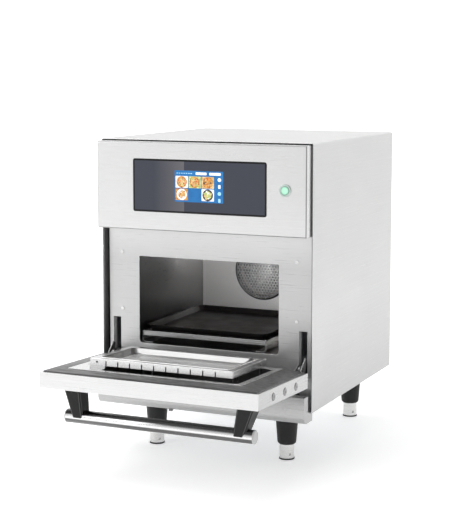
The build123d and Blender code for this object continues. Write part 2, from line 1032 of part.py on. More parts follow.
def transformer():
    y_low = duct_back + transformer_gap
    x = transformer_x
    half_w = transformer_width / 2
    mid_y = y_low + transformer_depth / 2
    high = base_top + transformer_height
    core = block(x - half_w, x + half_w, y_low + coil_overhang,
                 y_low + transformer_depth - coil_overhang, base_top, high)
    core += block(
        x - half_w - board_margin, x + half_w + board_margin, y_low + coil_overhang,
        y_low + transformer_depth - coil_overhang, base_top, base_top + core_foot,
    )
    coil_w = transformer_width * (1 - coil_height_share) / 2
    coils = []
    for level_share in (coil_low_share, coil_high_share):
        z = base_top + transformer_height * level_share
        coil_h = transformer_height * coil_height_share / 2 - seam
        coil = block(x - coil_w, x + coil_w, y_low, y_low + transformer_depth,
                     z - coil_h, z + coil_h)
        coils.append(fillet(coil.edges().filter_by(Axis.Z), coil_overhang / 2))
    return core + coils[0] + coils[1]


def capacitor():
    y_mid = duct_back + transformer_gap + transformer_depth / 2
    face = SlotOverall(capacitor_width, capacitor_depth)
    can = extrude(face, capacitor_height)
    for side in (-1, 1):
        x = side * capacitor_width / 4
        can += block(
            x - capacitor_tab_width / 2, x + capacitor_tab_width / 2,
            -capacitor_tab_thickness / 2, capacitor_tab_thickness / 2,
            capacitor_height - capacitor_tab_thickness, capacitor_height + capacitor_tab,
        )
    return Pos(capacitor_x, y_mid, base_top) * can


def equipment_shelf():
    low = floor_z + shelf_level
    edge = inner_half
    body = block(-edge, edge, shelf_front, rear_y - skin - seam, low, low + plate)
    for side in (-1, 1):
        x_a, x_b = sorted((side * edge, side * (edge - plate)))
        body += block(x_a, x_b, shelf_front, rear_y - skin - seam, low, low + shelf_return)
    # the microwave tube stands up through the shelf
    y_mid = guide_start + guide_length - tube_body_depth / 2
    cut_w = tube_body_width / 2 + board_margin
    cut_d = tube_body_depth / 2 + board_margin
    body -= block(-cut_w, cut_w, y_mid - cut_d, y_mid + cut_d, low - overrun, low + overrun)
    return body


def relay_board():
    low = floor_z + shelf_level + plate
    x_low = -inner_half + shelf_return
    y_low = shelf_front + board_margin
    x_high = x_low + relay_board_depth
    y_high = y_low + relay_board_width
    level = low + spacer_height
    board = block(x_low, x_high, y_low, y_high, level, level + board_thickness)
    for x in (x_low + board_margin, x_high - board_margin):
        for y in (y_low + board_margin, y_high - board_margin):
            board += block(x - spacer_size / 2, x + spacer_size / 2,
                           y - spacer_size / 2, y + spacer_size / 2, low, level)
    step = (relay_board_width - 2 * board_margin) / relay_count
    for i in range(relay_count):
        y = y_low + board_margin + (i + 0.5) * step
        x = x_high - 2 * board_margin - relay_size / 2
        board += block(
            x - relay_size / 2, x + relay_size / 2, y - relay_size * 3 / 8,
            y + relay_size * 3 / 8, level + board_thickness,
            level + board_thickness + relay_height,
        )
    return board


def blower_outline(spare):
    """The snail outline of the blower in its own axes, with wall left off by spare."""
    points = []
    turns = 24
    for i in range(turns + 1):
        angle = radians(90 + i * 270 / turns)
        radius = blower_diameter / 2 + blower_spiral * i / turns - spare
        points.append((radius * cos(angle), radius * sin(angle)))
    last = blower_diameter / 2 + blower_spiral - spare
    points += [(last, 0.0)]
    points += [(last, last), (last - blower_outlet + 2 * spare, last)]
    points += [(last - blower_outlet + 2 * spare, blower_diameter / 2 - spare)]
    return points


def blower_place(shape):
    drop = base_top + blower_diameter / 2 + blower_spiral
    return Pos(blower_x, blower_y, drop) * shape


def blower_housing():
    def snail(spare, x_low, x_high):
        seen = []
        for y, z in blower_outline(spare):
            if not seen or abs(seen[-1][0] - y) + abs(seen[-1][1] - z) > seam:
                seen.append((y, z))
        return prism_x(seen, x_low, x_high)

    half_w = blower_width / 2
    body = snail(0, -half_w, half_w)
    last = blower_diameter / 2 + blower_spiral
    body += block(-half_w, half_w, -blower_foot / 2, blower_foot / 2, -last, 0)
    body -= snail(blower_wall, -half_w + blower_wall, half_w - blower_wall)
    body -= block(
        -half_w + blower_wall, half_w - blower_wall, last - blower_outlet + blower_wall,
        last - blower_wall, last - 2 * blower_wall, last + overrun,
    )
    body -= rod_x(blower_intake / 2, half_w - overrun, half_w + overrun, 0, 0)
    body -= rod_x(blower_shaft, -half_w - overrun, -half_w + overrun, 0, 0)
    return blower_place(body)


def blower_wheel():
    half_w = wheel_width / 2
    outer = wheel_diameter / 2
    inner = outer - wheel_ring
    left = -half_w
    wheel = rod_x(outer, left, left + wheel_disc, 0, 0)
    wheel += rod_x(wheel_hub / 2, left, left + wheel_ring, 0, 0)
    ring = rod_x(outer, half_w - wheel_disc, half_w, 0, 0)
    ring -= rod_x(inner, half_w - overrun, half_w + overrun, 0, 0)
    wheel += ring
    for i in range(wheel_blades):
        blade = block(left + wheel_disc / 2, half_w - wheel_disc / 2,
                      inner + wheel_blade, outer - wheel_blade,
                      -wheel_blade / 2, wheel_blade / 2)
        wheel += Rot(i * 360 / wheel_blades, 0, 0) * blade
    start = -blower_width / 2 - blower_motor_length / 2
    wheel += rod_x(blower_shaft / 2, start, left + wheel_ring, 0, 0)
    return blower_place(wheel)


def blower_motor():
    right = -blower_width / 2
    left = right - blower_motor_length
    body = rod_x(blower_motor_diameter / 2, left, right, 0, 0)
    rim = body.edges().filter_by(GeomType.CIRCLE).sort_by(Axis.X)[0]
    body = chamfer(rim, blower_bevel)
    body -= rod_x(blower_shaft / 2 + shaft_play, left + blower_motor_length / 4,
                  right + overrun, 0, 0)
    return blower_place(body)


def cable_gland():
    x, z = gland_x, floor_z + gland_level
    start = rear_y - skin
    outer = gland_diameter / 2
    flange = gland_flange / 2
    bore = gland_bore / 2
    profile = [
        (bore, start - gland_flange_thickness),
        (outer, start - gland_flange_thickness),
        (outer, rear_y),
        (flange, rear_y),
        (flange, rear_y + gland_flange_thickness),
        (outer, rear_y + gland_flange_thickness),
        (outer - gland_edge, rear_y + gland_length),
        (bore, rear_y + gland_length),
    ]
    face = make_face(Polyline(*[(r, y, 0) for r, y in profile], close=True))
    return Pos(x, 0, z) * revolve(face, Axis.Y)


def rear_screws():
    heads = []
    low = base_top + plate_return
    high = top_z - skin - rear_screw_inset
    for side in (-1, 1):
        x = side * (inner_half - rear_screw_inset)
        for i in range(rear_screw_rows):
            z = low + rear_screw_inset + i * (high - low - rear_screw_inset) / (rear_screw_rows - 1)
            face = Plane.XZ * RegularPolygon(rear_screw_diameter / 2, grille_corners)
            head = extrude(face, rear_screw_head, dir=(0, 1, 0))
            heads.append(Pos(x, rear_y, z) * head)
    return heads


def door_skin():
    thick = door_depth
    body = turned(-door_half, door_half, door_rear, door_front, -thick, 0)
    outer_edges = body.faces().sort_by(Axis.Z)[0].edges()
    body = fillet(outer_edges, door_bend)
    body -= turned(
        -door_half + door_sheet, door_half - door_sheet, door_rear + door_sheet,
        door_front - door_sheet, -thick + door_sheet, -door_sheet,
    )
    body -= turned(
        -door_half + door_lip, door_half - door_lip, door_rear + door_lip,
        door_front - door_lip, -thick + door_sheet, overrun,
    )
    for side in (-1, 1):
        x = side * slot_offset
        body -= block(
            x - arm_width / 2 - arm_clearance, x + arm_width / 2 + arm_clearance,
            door_rear - overrun, door_rear + door_lip + arm_clearance,
            -arm_drop - arm_clearance - arm_sheet, overrun,
        )
        for i in range(side_screw_count):
            y = side_screw_first + i * side_screw_pitch
            x_a, x_b = sorted((side * (door_half - overrun), side * (door_half + overrun)))
            body -= rod_x(side_screw_diameter / 2, x_a, x_b, y, -side_screw_level)
    return on_door(body)


def side_screws():
    heads = []
    for side in (-1, 1):
        for i in range(side_screw_count):
            y = side_screw_first + i * side_screw_pitch
            face_x = door_half - door_sheet - seam
            x_a, x_b = sorted((side * (face_x - side_screw_depth), side * face_x))
            face = RegularPolygon(side_screw_diameter / 2 + door_sheet, heater_sides)
            head = extrude(Plane.YZ * face, x_b - x_a, dir=(1, 0, 0))
            heads.append(on_door(Pos(x_a, y, -side_screw_level) * head))
    return heads


def seal_outer():
    return door_half - door_lip, door_rear + door_lip, door_front - door_lip


def door_seal():
    side, rear, front = seal_outer()
    inner_side = side - seal_sides
    inner_rear = rear + seal_rear
    inner_front = front - seal_front
    low = -seal_skirt
    outer_low = Pos(0, (rear + front) / 2, low) * Rectangle(2 * side, front - rear)
    outer_high = Pos(0, (rear + front) / 2, seal_rise) * Rectangle(2 * side, front - rear)
    inner_high = Pos(0, (inner_rear + inner_front) / 2, seal_top) * Rectangle(
        2 * inner_side, inner_front - inner_rear
    )
    body = extrude(outer_low, seal_skirt + seal_rise)
    body += loft([outer_high, inner_high])
    body -= Pos(0, (inner_rear + inner_front) / 2, low - overrun) * extrude(
        Rectangle(2 * inner_side, inner_front - inner_rear), seal_skirt + seal_top + 2 * overrun
    )
    return on_door(body)


def door_liner():
    side, rear, front = seal_outer()
    inner_side = side - seal_sides - seam
    inner_rear = rear + seal_rear + seam
    inner_front = front - seal_front - seam
    floor = -door_depth + door_sheet
    top = seal_top
    body = turned(-inner_side, inner_side, inner_rear, inner_front,
                  top - liner_thickness, top)
    wall = liner_thickness
    body += turned(
        -well_left - wall, well_right + wall, well_rear - wall, well_front + wall,
        floor, top,
    )
    well = turned(-well_left, well_right, well_rear, well_front, floor + wall, top + overrun)
    body -= fillet(well.edges().filter_by(Axis.Z), well_radius)
    return on_door(body)


def choke():
    half_w = choke_width / 2
    low = choke_top - choke_skirt
    body = turned(-half_w, half_w, choke_rear, choke_front, low, choke_top)
    body = fillet(body.edges().filter_by(Axis.Z), choke_radius)
    body = chamfer(body.faces().sort_by(Axis.Z)[-1].edges(), choke_sheet / 2)
    sheet = choke_sheet
    body -= turned(
        -half_w + sheet, half_w - sheet, choke_rear + sheet, choke_front - sheet,
        low - overrun, choke_top - sheet,
    )
    # the left side reaches down to the plate as one closed wall
    corner = turned(-half_w, -half_w + choke_foot, choke_rear, choke_front, seal_top, low + sheet)
    corner -= turned(
        -half_w + sheet, half_w, choke_rear + sheet, choke_front - sheet,
        seal_top - overrun, choke_top,
    )
    body += corner
    border = pan_border
    body -= turned(
        -half_w + border, half_w - border, choke_rear + border, choke_front - border,
        low, choke_top + overrun,
    )
    for i in range(choke_front_notches):
        x = (i - (choke_front_notches - 1) / 2) * choke_pitch
        body -= block(
            x - choke_notch / 2, x + choke_notch / 2, choke_front - sheet - seam,
            choke_front + overrun, low - overrun, low + choke_notch_height,
        )
    for i in range(choke_side_notches):
        y = (choke_rear + choke_front) / 2 + (i - (choke_side_notches - 1) / 2) * choke_pitch
        body -= block(
            -half_w - overrun, -half_w + sheet + seam, y - choke_notch / 2,
            y + choke_notch / 2, low - overrun, low + choke_notch_height,
        )
    hole = Cylinder(choke_hole / 2, 2 * overrun, rotation=(90, 0, 0))
    body -= Pos(choke_hole_offset, choke_front, low + choke_skirt / 2) * hole
    return on_door(body)


def choke_pan():
    half_w = choke_width / 2 - pan_border
    rear = choke_rear + pan_border
    front = choke_front - pan_border
    mid = (rear + front) / 2
    top = choke_top
    sheet = choke_sheet
    rim = Rectangle(2 * half_w, front - rear)
    low_size = (2 * half_w - 2 * pan_slope, front - rear - 2 * pan_slope)
    floor = RectangleRounded(*low_size, pan_radius)
    high = RectangleRounded(2 * half_w - 2 * sheet, front - rear - 2 * sheet, pan_radius)
    plate_part = Pos(0, mid, top - pan_depth - sheet) * extrude(rim, pan_depth + sheet)
    cut = Pos(0, mid, top - pan_depth) * floor
    cut_top = Pos(0, mid, top) * high
    body = plate_part - loft([cut, cut_top])
    # the underside is dished as well, so the pan is a formed sheet
    under_low = Pos(0, mid, top - pan_depth - sheet) * RectangleRounded(
        low_size[0] + 2 * sheet, low_size[1] + 2 * sheet, pan_radius)
    ring_cut = Pos(0, mid, top - pan_depth - sheet) * extrude(rim, pan_depth - sheet)
    keep = Pos(0, mid, top - sheet * 2) * RectangleRounded(
        2 * half_w, front - rear, pan_radius)
    ring_cut -= loft([under_low, keep])
    body -= ring_cut
    return on_door(body)


def choke_posts():
    def post(x_mid, y_mid, z_high):
        face = Pos(x_mid, y_mid, floor) * RegularPolygon(post_diameter / 2, grille_corners)
        return on_door(extrude(face, z_high - floor))

    posts = []
    x = choke_width / 2 - post_inset
    floor = -door_depth + door_sheet + liner_thickness
    under = choke_top - choke_sheet
    for y in (post_near, post_far):
        posts.append(post(-x, y, under))
    middle = choke_top - pan_depth - choke_sheet
    for x_mid in (-well_left / 2, well_left):
        y = (choke_rear + choke_front) / 2
        posts.append(post(-x_mid, y, middle))
    return posts


def door_insulation():
    gap = door_fill_clearance
    wall = liner_thickness + gap
    arm_inner = slot_offset - arm_width / 2 - arm_clearance
    floor = -door_depth + door_sheet
    rear = door_rear + door_sheet + gap
    top = -seal_skirt - gap
    body = turned(-arm_inner + gap, arm_inner - gap, rear, door_front - door_sheet - gap,
                  floor, top)
    body -= turned(-well_left - wall, well_right + wall, well_rear - wall, well_front + wall,
                   floor - overrun, top + overrun)
    return on_door(body)


def handle_axis():
    return handle_reach, -door_depth - handle_stand


def handle_bar():
    reach, rise = handle_axis()
    end = handle_length / 2 - handle_cap
    return on_door(rod_x(handle_diameter / 2, -end, end, reach, rise))


def handle_caps():
    reach, rise = handle_axis()
    caps = []
    for side in (-1, 1):
        x_a, x_b = sorted((side * (handle_length / 2 - handle_cap), side * handle_length / 2))
        cap = rod_x(handle_diameter / 2, x_a, x_b, reach, rise)
        ends = cap.edges().filter_by(GeomType.CIRCLE).sort_by(Axis.X)
        caps.append(on_door(chamfer(ends[-1 if side > 0 else 0], handle_cap_edge)))
    return caps


def handle_bracket(side):
    reach, rise = handle_axis()
    top = -door_depth
    front = reach + handle_diameter / 2 + arm_clearance
    wide = [
        (-side * bracket_outer, top),
        (-side * bracket_inner, top),
        (-side * bracket_tip_inner, rise),
        (-side * bracket_tip_outer, rise),
    ]
    body = prism_y(wide, front - bracket_base, front)
    slope = bracket_base - bracket_tip
    cut = [
        (front - bracket_base - overrun, top),
        (front - bracket_base, top),
        (front - bracket_base + slope, rise),
        (front - bracket_base + slope, rise - overrun),
        (front - bracket_base - overrun, rise - overrun),
    ]
    body -= prism_x(cut, -half, half)
    front_edges = body.faces().sort_by(Axis.Y)[-1].edges().filter_by(
        lambda edge: abs(edge.tangent_at(0.5).Z) > abs(edge.tangent_at(0.5).X)
    )
    body = chamfer(front_edges, bracket_edge)
    body -= rod_x(handle_diameter / 2, -half, half, reach, rise)
    return on_door(body)


def hinge_arm(side):
    """Folded lever with two cheeks, bolted in the door and hooked on the pin."""
    x_mid = -side * slot_offset
    sheet = arm_sheet
    low = -arm_drop
    far = arm_length
    high = -seal_skirt - arm_clearance

    def cheek(x_low, tail):
        outline = [
            (arm_boss, low),
            (far, low),
            (far, high),
            (door_rear + door_lip - arm_clearance, high),
            (door_rear + door_lip - arm_clearance, 0),
            (-tail_reach + tail_back / 2, tail + hinge_rise),
            (-tail_reach - tail_back / 2, tail + hinge_rise - tail_back / 2),
            (-arm_boss, hinge_rise - arm_boss / 2),
            (-arm_boss / 2, hinge_rise - arm_boss),
        ]
        return prism_x(outline, x_low, x_low + sheet)

    left = x_mid - arm_width / 2
    right = x_mid + arm_width / 2 - sheet
    # the outer cheek carries the long tail
    tails = (tail_rise, short_tail_rise) if side > 0 else (short_tail_rise, tail_rise)
    body = cheek(left, tails[0]) + cheek(right, tails[1])
    web_start = door_rear + tail_back + door_lip
    body += block(left, right + sheet, web_start, far, low, low + sheet)
    body -= rod_x(hinge_pin / 2 + hinge_play, x_mid - overrun, x_mid + overrun, 0, hinge_rise)
    # tab that takes the side screws
    face_x = door_half - door_sheet - seam - side_screw_depth
    x_out = -side * face_x
    x_in = left if side > 0 else right + sheet
    x_a, x_b = sorted((x_in, x_out))
    body += block(x_a, x_b, side_screw_first - side_screw_diameter,
                  far, low, low + sheet)
    wall_a, wall_b = sorted((x_out, x_out + side * sheet))
    body += block(wall_a, wall_b, side_screw_first - side_screw_diameter,
                  side_screw_first + 2 * side_screw_pitch + side_screw_diameter,
                  low, high)
    return on_door(body)


def hinge_link(side):
    """Fixed tongue that comes out through the slot and holds the hinge pin."""
    x_mid = side * slot_offset
    half_t = link_sheet / 2
    boss = link_height / 2
    tongue = block(
        x_mid - half_t, x_mid + half_t, pivot_y, plate_back + case_depth / 2,
        pivot_z - boss, pivot_z + boss,
    )
    tongue += rod_x(boss, x_mid - half_t, x_mid + half_t, pivot_y, pivot_z)
    span = arm_width / 2 + arm_sheet
    tongue += rod_x(hinge_pin / 2, x_mid - span, x_mid + span, pivot_y, pivot_z)
    return tongue


def hinge_case(side):
    """Channel behind the front plate that holds the link and the door spring."""
    x_mid = side * slot_offset
    half_w = case_width / 2
    sheet = case_sheet
    low = floor_z + slot_bottom
    body = block(x_mid - half_w, x_mid + half_w, plate_back, plate_back + case_depth,
                 low, low + case_height)
    body -= block(x_mid - half_w + sheet, x_mid + half_w - sheet, plate_back - overrun,
                  plate_back + case_depth - sheet, low + sheet, low + case_height - sheet)
    # block that the tongue is riveted to
    y_low = plate_back + case_depth / 2
    body += block(x_mid - half_w + sheet / 2, x_mid + half_w - sheet / 2, y_low,
                  y_low + link_height, pivot_z - link_height, pivot_z + link_height)
    return body


def hinge_spring(side):
    """Coil spring that balances the door."""
    x_mid = side * slot_offset
    length = spring_turns * spring_pitch
    start = plate_back + case_depth - case_sheet - length - spring_wire / 2
    path = Helix(spring_pitch, length, (spring_diameter - spring_wire) / 2)
    section = Plane(path @ 0, z_dir=path % 0) * RegularPolygon(spring_wire / 2, 4)
    coil = sweep(section, path, is_frenet=True)
    return Pos(x_mid, start, floor_z + spring_level) * (Rot(-90, 0, 0) * coil)


def door_switches():
    """One switch on the floor of each hinge case, tripped by the arm when the door shuts."""
    bodies = []
    low = floor_z + slot_bottom + case_sheet
    for side in (-1, 1):
        x = side * slot_offset
        y_low = plate_back + switch_start
        y_high = y_low + switch_depth
        body = block(x - switch_width / 2, x + switch_width / 2, y_low, y_high,
                     low, low + switch_height)
        lever = [
            (y_low, low + switch_height / 2),
            (y_low - switch_reach, low + switch_height),
            (y_low - switch_reach + switch_lever, low + switch_height),
            (y_low, low + switch_height / 2 + 2 * switch_lever),
        ]
        body += prism_x(lever, x - switch_width / 4, x + switch_width / 4)
        bodies.append(body)
    return bodies


def rack():
    left = rack_x - rack_width / 2
    right = rack_x + rack_width / 2
    low = chamber_low + rack_seat
    top = floor_z + rack_top
    sheet = rack_sheet
    bend = rack_bend
    foot = rack_foot + bend
    body = block(left, right, rack_front, rack_front + rack_length, low, top)
    body = fillet(body.edges().filter_by(Axis.Y).group_by(Axis.Z)[0], bend)
    inside = block(left + sheet, right - sheet, rack_front - overrun,
                   rack_front + rack_length + overrun, low + sheet, top - sheet)
    body -= fillet(inside.edges().filter_by(Axis.Y).group_by(Axis.Z)[0], bend - sheet)
    body -= block(left + foot, right - foot, rack_front - overrun,
                  rack_front + rack_length + overrun, low - overrun, low + bend)
    nose_left = left + sheet + rack_nose_gap
    nose_right = right - sheet - rack_nose_gap
    nose = block(nose_left, nose_right, rack_front, rack_front + sheet * 2,
                 top - rack_nose, top - sheet / 2)
    nose_edges = nose.faces().sort_by(Axis.Y)[0].edges().filter_by(Axis.X)
    body += fillet(nose_edges, sheet)
    for i in (-1, 0, 1):
        for j in range(rack_slot_rows):
            x = rack_x + i * (rack_slot_length + rack_foot)
            y = rack_front + rack_length * (j + 1) / (rack_slot_rows + 1)
            body -= block(x - rack_slot_length / 2, x + rack_slot_length / 2, y,
                          y + rack_slot_width, top - sheet - overrun, top + overrun)
    return body


def tray():
    x = rack_x
    y = rack_front + tray_start + tray_length / 2
    low = floor_z + rack_top + tray_seat
    outer_low = RectangleRounded(
        tray_width - 2 * tray_flare, tray_length - 2 * tray_flare, tray_radius - tray_flare)
    outer_high = Pos(0, 0, tray_depth) * RectangleRounded(tray_width, tray_length, tray_radius)
    sheet = tray_sheet
    inner_low = Pos(0, 0, sheet) * RectangleRounded(
        tray_width - 2 * tray_flare - 2 * sheet, tray_length - 2 * tray_flare - 2 * sheet,
        tray_radius - tray_flare)
    inner_high = Pos(0, 0, tray_depth + seam) * RectangleRounded(
        tray_width - 2 * sheet, tray_length - 2 * sheet, tray_radius - sheet)
    body = loft([outer_low, outer_high])
    rim = Pos(0, 0, tray_depth - sheet) * extrude(
        RectangleRounded(tray_width + 2 * tray_rim, tray_length + 2 * tray_rim,
                         tray_radius + tray_rim), sheet)
    body += rim
    body -= loft([inner_low, inner_high])
    return Pos(x, y, low) * body


def leg_cups():
    cups = []
    for side in (-1, 1):
        for leg_y in (leg_front, leg_rear):
            top = floor_z + skin
            low = top - cup_height
            bore = foot_diameter / 2 + foot_play
            profile = [
                (bore, low),
                (cup_bottom / 2 - cup_edge, low),
                (cup_bottom / 2, low + cup_edge),
                (cup_top / 2, top),
                (0, top),
                (0, top - cup_wall),
                (bore, top - cup_wall),
            ]
            face = make_face(Polyline(*[(r, 0, z) for r, z in profile], close=True))
            cups.append(Pos(side * leg_offset, leg_y, 0) * revolve(face, Axis.Z))
    return cups


def foot(side, leg_y):
    radius = foot_diameter / 2
    top = floor_z + skin - cup_height + foot_grip
    tube = rod_z(radius, foot_pad, top, 0, 0)
    # hole for the spanner that turns the foot, drilled from the front corner
    drill = extrude(Plane.XZ * RegularPolygon(foot_drill / 2, grille_corners),
                    foot_drill_depth, dir=(0, 1, 0))
    place = Pos(0, -radius - foot_drill_depth / 2, foot_pad + foot_drill_level)
    tube -= Rot(0, 0, foot_drill_turn) * (place * drill)
    pad = rod_z(foot_pad_diameter / 2, 0, foot_pad, 0, 0)
    place = Pos(side * leg_offset, leg_y, 0)
    return [place * tube, place * pad]


pieces = {
    "housing_cover": housing_cover(),
    "base_plate": base_plate(),
    "rear_panel": rear_panel(),
    "exhaust_hood": exhaust_hood(),
    "front_plate": front_plate(),
    "housing_screws": front_screws() + rear_screws(),
    "control_panel": control_panel(),
    "glass_panel": glass_panel(),
    "display_carrier": display_carrier(),
    "display": display(),
    "control_board": control_board(),
    "button_bezel": button_bezel(),
    "button_nut": button_nut(),
    "button_contact": button_contact(),
    "power_button": power_button(),
    "lower_cover": lower_cover(),
    "air_filter": air_filter(),
    "chamber": chamber(),
    "chamber_blanket": chamber_blanket(),
    "grille_ring": grille_ring(),
    "fan_grille": fan_grille(),
    "fan_duct": fan_duct(),
    "fan_wheel": fan_wheel(),
    "heater": heater(),
    "fan_motor": fan_motor(),
    "wave_guide": wave_guide(),
    "magnetron": magnetron(),
    "transformer": transformer(),
    "capacitor": capacitor(),
    "equipment_shelf": equipment_shelf(),
    "relay_board": relay_board(),
    "blower_housing": blower_housing(),
    "blower_wheel": blower_wheel(),
    "blower_motor": blower_motor(),
    "cable_gland": cable_gland(),
    "door_switches": door_switches(),
    "leg_cups": leg_cups(),
    "door_skin": door_skin(),
    "side_screws": side_screws(),
    "door_seal": door_seal(),
    "door_liner": door_liner(),
    "choke": choke(),
    "choke_pan": choke_pan(),
    "choke_posts": choke_posts(),
    "door_insulation": door_insulation(),
    "handle_bar": handle_bar(),
    "handle_caps": handle_caps(),
    "handle_bracket_left": handle_bracket(-1),
    "handle_bracket_right": handle_bracket(1),
    "rack": rack(),
    "tray": tray(),
}
for name, side in (("left", -1), ("right", 1)):
    pieces["hinge_arm_" + name] = hinge_arm(side)

pieces["hinge_links"] = [hinge_link(-1), hinge_link(1)]
pieces["hinge_cases"] = [hinge_case(-1), hinge_case(1)]
pieces["hinge_springs"] = [hinge_spring(-1), hinge_spring(1)]

feet = [("front_left", -1, leg_front), ("front_right", 1, leg_front),
        ("rear_left", -1, leg_rear), ("rear_right", 1, leg_rear)]
for name, side, leg_y in feet:
    pieces["foot_" + name] = foot(side, leg_y)


def whole(piece):
    """One flat compound of a piece's solids."""
    shapes = piece if isinstance(piece, list) else [piece]
    return Compound([solid for shape in shapes for solid in shape.solids()])


# The origin is on the floor below the middle of the oven with its door open.
boxes = [whole(piece).bounding_box() for piece in pieces.values()]
low_y = min(box.min.Y for box in boxes)
high_y = max(box.max.Y for box in boxes)
middle_y = (low_y + high_y) / 2
print("front edge of the housing at Y =", round(-middle_y, 4))

os.makedirs("parts", exist_ok=True)
for name, piece in pieces.items():
    solid = Pos(0, -middle_y, 0) * whole(piece)
    export_step(solid, "parts/" + name + ".step")
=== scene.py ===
import math
import bpy
import bmesh
from mathutils import Matrix, Vector


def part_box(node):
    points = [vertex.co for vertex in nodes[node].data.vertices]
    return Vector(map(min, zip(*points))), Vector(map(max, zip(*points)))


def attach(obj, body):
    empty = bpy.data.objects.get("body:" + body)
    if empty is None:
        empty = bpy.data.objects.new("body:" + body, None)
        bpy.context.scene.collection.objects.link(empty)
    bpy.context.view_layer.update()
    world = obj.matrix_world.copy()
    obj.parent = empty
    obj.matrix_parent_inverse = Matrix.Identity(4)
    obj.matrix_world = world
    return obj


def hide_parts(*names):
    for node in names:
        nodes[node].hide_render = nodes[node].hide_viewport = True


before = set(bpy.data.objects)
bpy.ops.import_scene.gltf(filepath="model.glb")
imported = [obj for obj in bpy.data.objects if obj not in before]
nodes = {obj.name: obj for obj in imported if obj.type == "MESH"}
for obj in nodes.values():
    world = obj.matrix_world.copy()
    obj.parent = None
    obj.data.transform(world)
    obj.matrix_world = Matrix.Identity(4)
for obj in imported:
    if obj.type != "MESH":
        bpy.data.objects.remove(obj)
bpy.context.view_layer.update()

mm = 0.001
print("frame loaded:", len(nodes), "nodes")

# view, light and floor
cameraSetup = {
    "place": (1.20821, -2.69026, 0.81288),
    "yaw": 0.42425,
    "pitch": 0.11139,
    "lens": 97.80,
    "sensor": 36.0,
    "shiftY": -0.0769,  # the photograph sits a little low in its frame
}
studio = {
    "skyStrength": 0.84,
    "skySeen": 1.1,  # for the camera, so that the sky looks white beside the paper
    "skyTop": (0.40, 0.40, 0.40, 1.0),
    "skyLow": (1.0, 1.0, 1.0, 1.0),
    "skyFade": (0.16, 0.50),  # where the low sky ends and the top begins
    "floorTone": (0.93, 0.93, 0.93, 1.0),
    "floorDrift": 0.985,  # share of its tone in the paper's darker clouds
    # painted shadow: the floor glows less under the oven than round it
    "floorGlow": (0.38, 0.48),  # under the oven, round it
    "glowEdge": (0.12, 0.38),  # how far out one turns into the other
    "farGlow": 0.45,
    "farEdge": (1.2, 3.5),
    "lamps": [  # name, place, aim, size, watts; the last one is inside the chamber
        ("softTop", (-0.7, -0.2, 2.6), (0.0, -0.05, 0.30), (2.4, 2.4), 38.0),
        ("softLeft", (-2.3, -2.2, 1.7), (0.0, -0.05, 0.30), (1.6, 2.0), 20.0),
        ("softFill", (0.10, -0.09, 0.400), (-0.06, 0.20, 0.33), (0.10, 0.05), 1.0),
    ],
}


def makeCamera():
    yaw, pitch = cameraSetup["yaw"], cameraSetup["pitch"]
    level = math.cos(pitch)
    forward = Vector((-math.sin(yaw) * level, math.cos(yaw) * level, -math.sin(pitch)))
    right = Vector((math.cos(yaw), math.sin(yaw), 0.0))
    up = right.cross(forward)
    data = bpy.data.cameras.new("photoCamera")
    data.lens = cameraSetup["lens"]
    data.sensor_width = cameraSetup["sensor"]
    data.shift_y = cameraSetup["shiftY"]
    camera = bpy.data.objects.new("photoCamera", data)
    turn = Matrix((right, up, -forward)).transposed().to_4x4()
    camera.matrix_world = Matrix.Translation(cameraSetup["place"]) @ turn
    bpy.context.scene.collection.objects.link(camera)
    bpy.context.scene.camera = camera


def makeStudio():
    world = bpy.data.worlds.new("studio")
    bpy.context.scene.world = world
    world.use_nodes = True
    tree = world.node_tree
    back = tree.nodes["Background"]
    split = tree.nodes.new("ShaderNodeSeparateXYZ")
    link(tree, tree.nodes.new("ShaderNodeTexCoord").outputs["Generated"], split.inputs[0])
    fade = spread(tree, split.outputs["Z"], 0.0, 1.0, *studio["skyFade"])
    link(tree, mixColour(tree, fade, studio["skyLow"], studio["skyTop"]), back.inputs["Color"])
    seen = tree.nodes.new("ShaderNodeLightPath").outputs["Is Camera Ray"]
    power = spread(tree, seen, studio["skyStrength"], studio["skySeen"])
    link(tree, power, back.inputs["Strength"])
    for name, place, target, size, watts in studio["lamps"]:
        data = bpy.data.lights.new(name, "AREA")
        data.shape = "RECTANGLE"
        data.size, data.size_y = size
        data.energy = watts
        lamp = bpy.data.objects.new(name, data)
        lamp.location = place
        aim = Vector(target) - Vector(place)
        lamp.rotation_euler = aim.to_track_quat("-Z", "Y").to_euler()
        bpy.context.scene.collection.objects.link(lamp)
    bpy.context.scene.view_settings.view_transform = "Standard"
    bpy.context.scene.view_settings.look = "None"


# small helpers for node trees
def link(tree, a, b):
    tree.links.new(a, b)


def mathNode(tree, kind, a, b=None, clamp=False):
    node = tree.nodes.new("ShaderNodeMath")
    node.operation = kind
    node.use_clamp = clamp
    for i, value in enumerate((a, b)):
        if value is None:
            continue
        if isinstance(value, (int, float)):
            node.inputs[i].default_value = value
        else:
            link(tree, value, node.inputs[i])
    return node.outputs[0]


def noiseNode(tree, vector, scale, detail=3.0, rough=0.55):
    node = tree.nodes.new("ShaderNodeTexNoise")
    node.inputs["Scale"].default_value = scale
    node.inputs["Detail"].default_value = detail
    node.inputs["Roughness"].default_value = rough
    link(tree, vector, node.inputs["Vector"])
    return node.outputs[0]


def mixColour(tree, factor, a, b):
    node = tree.nodes.new("ShaderNodeMix")
    node.data_type = "RGBA"
    for socket, value in ((node.inputs[0], factor), (node.inputs[6], a), (node.inputs[7], b)):
        if isinstance(value, (int, float, tuple)):
            socket.default_value = value
        else:
            link(tree, value, socket)
    return node.outputs[2]


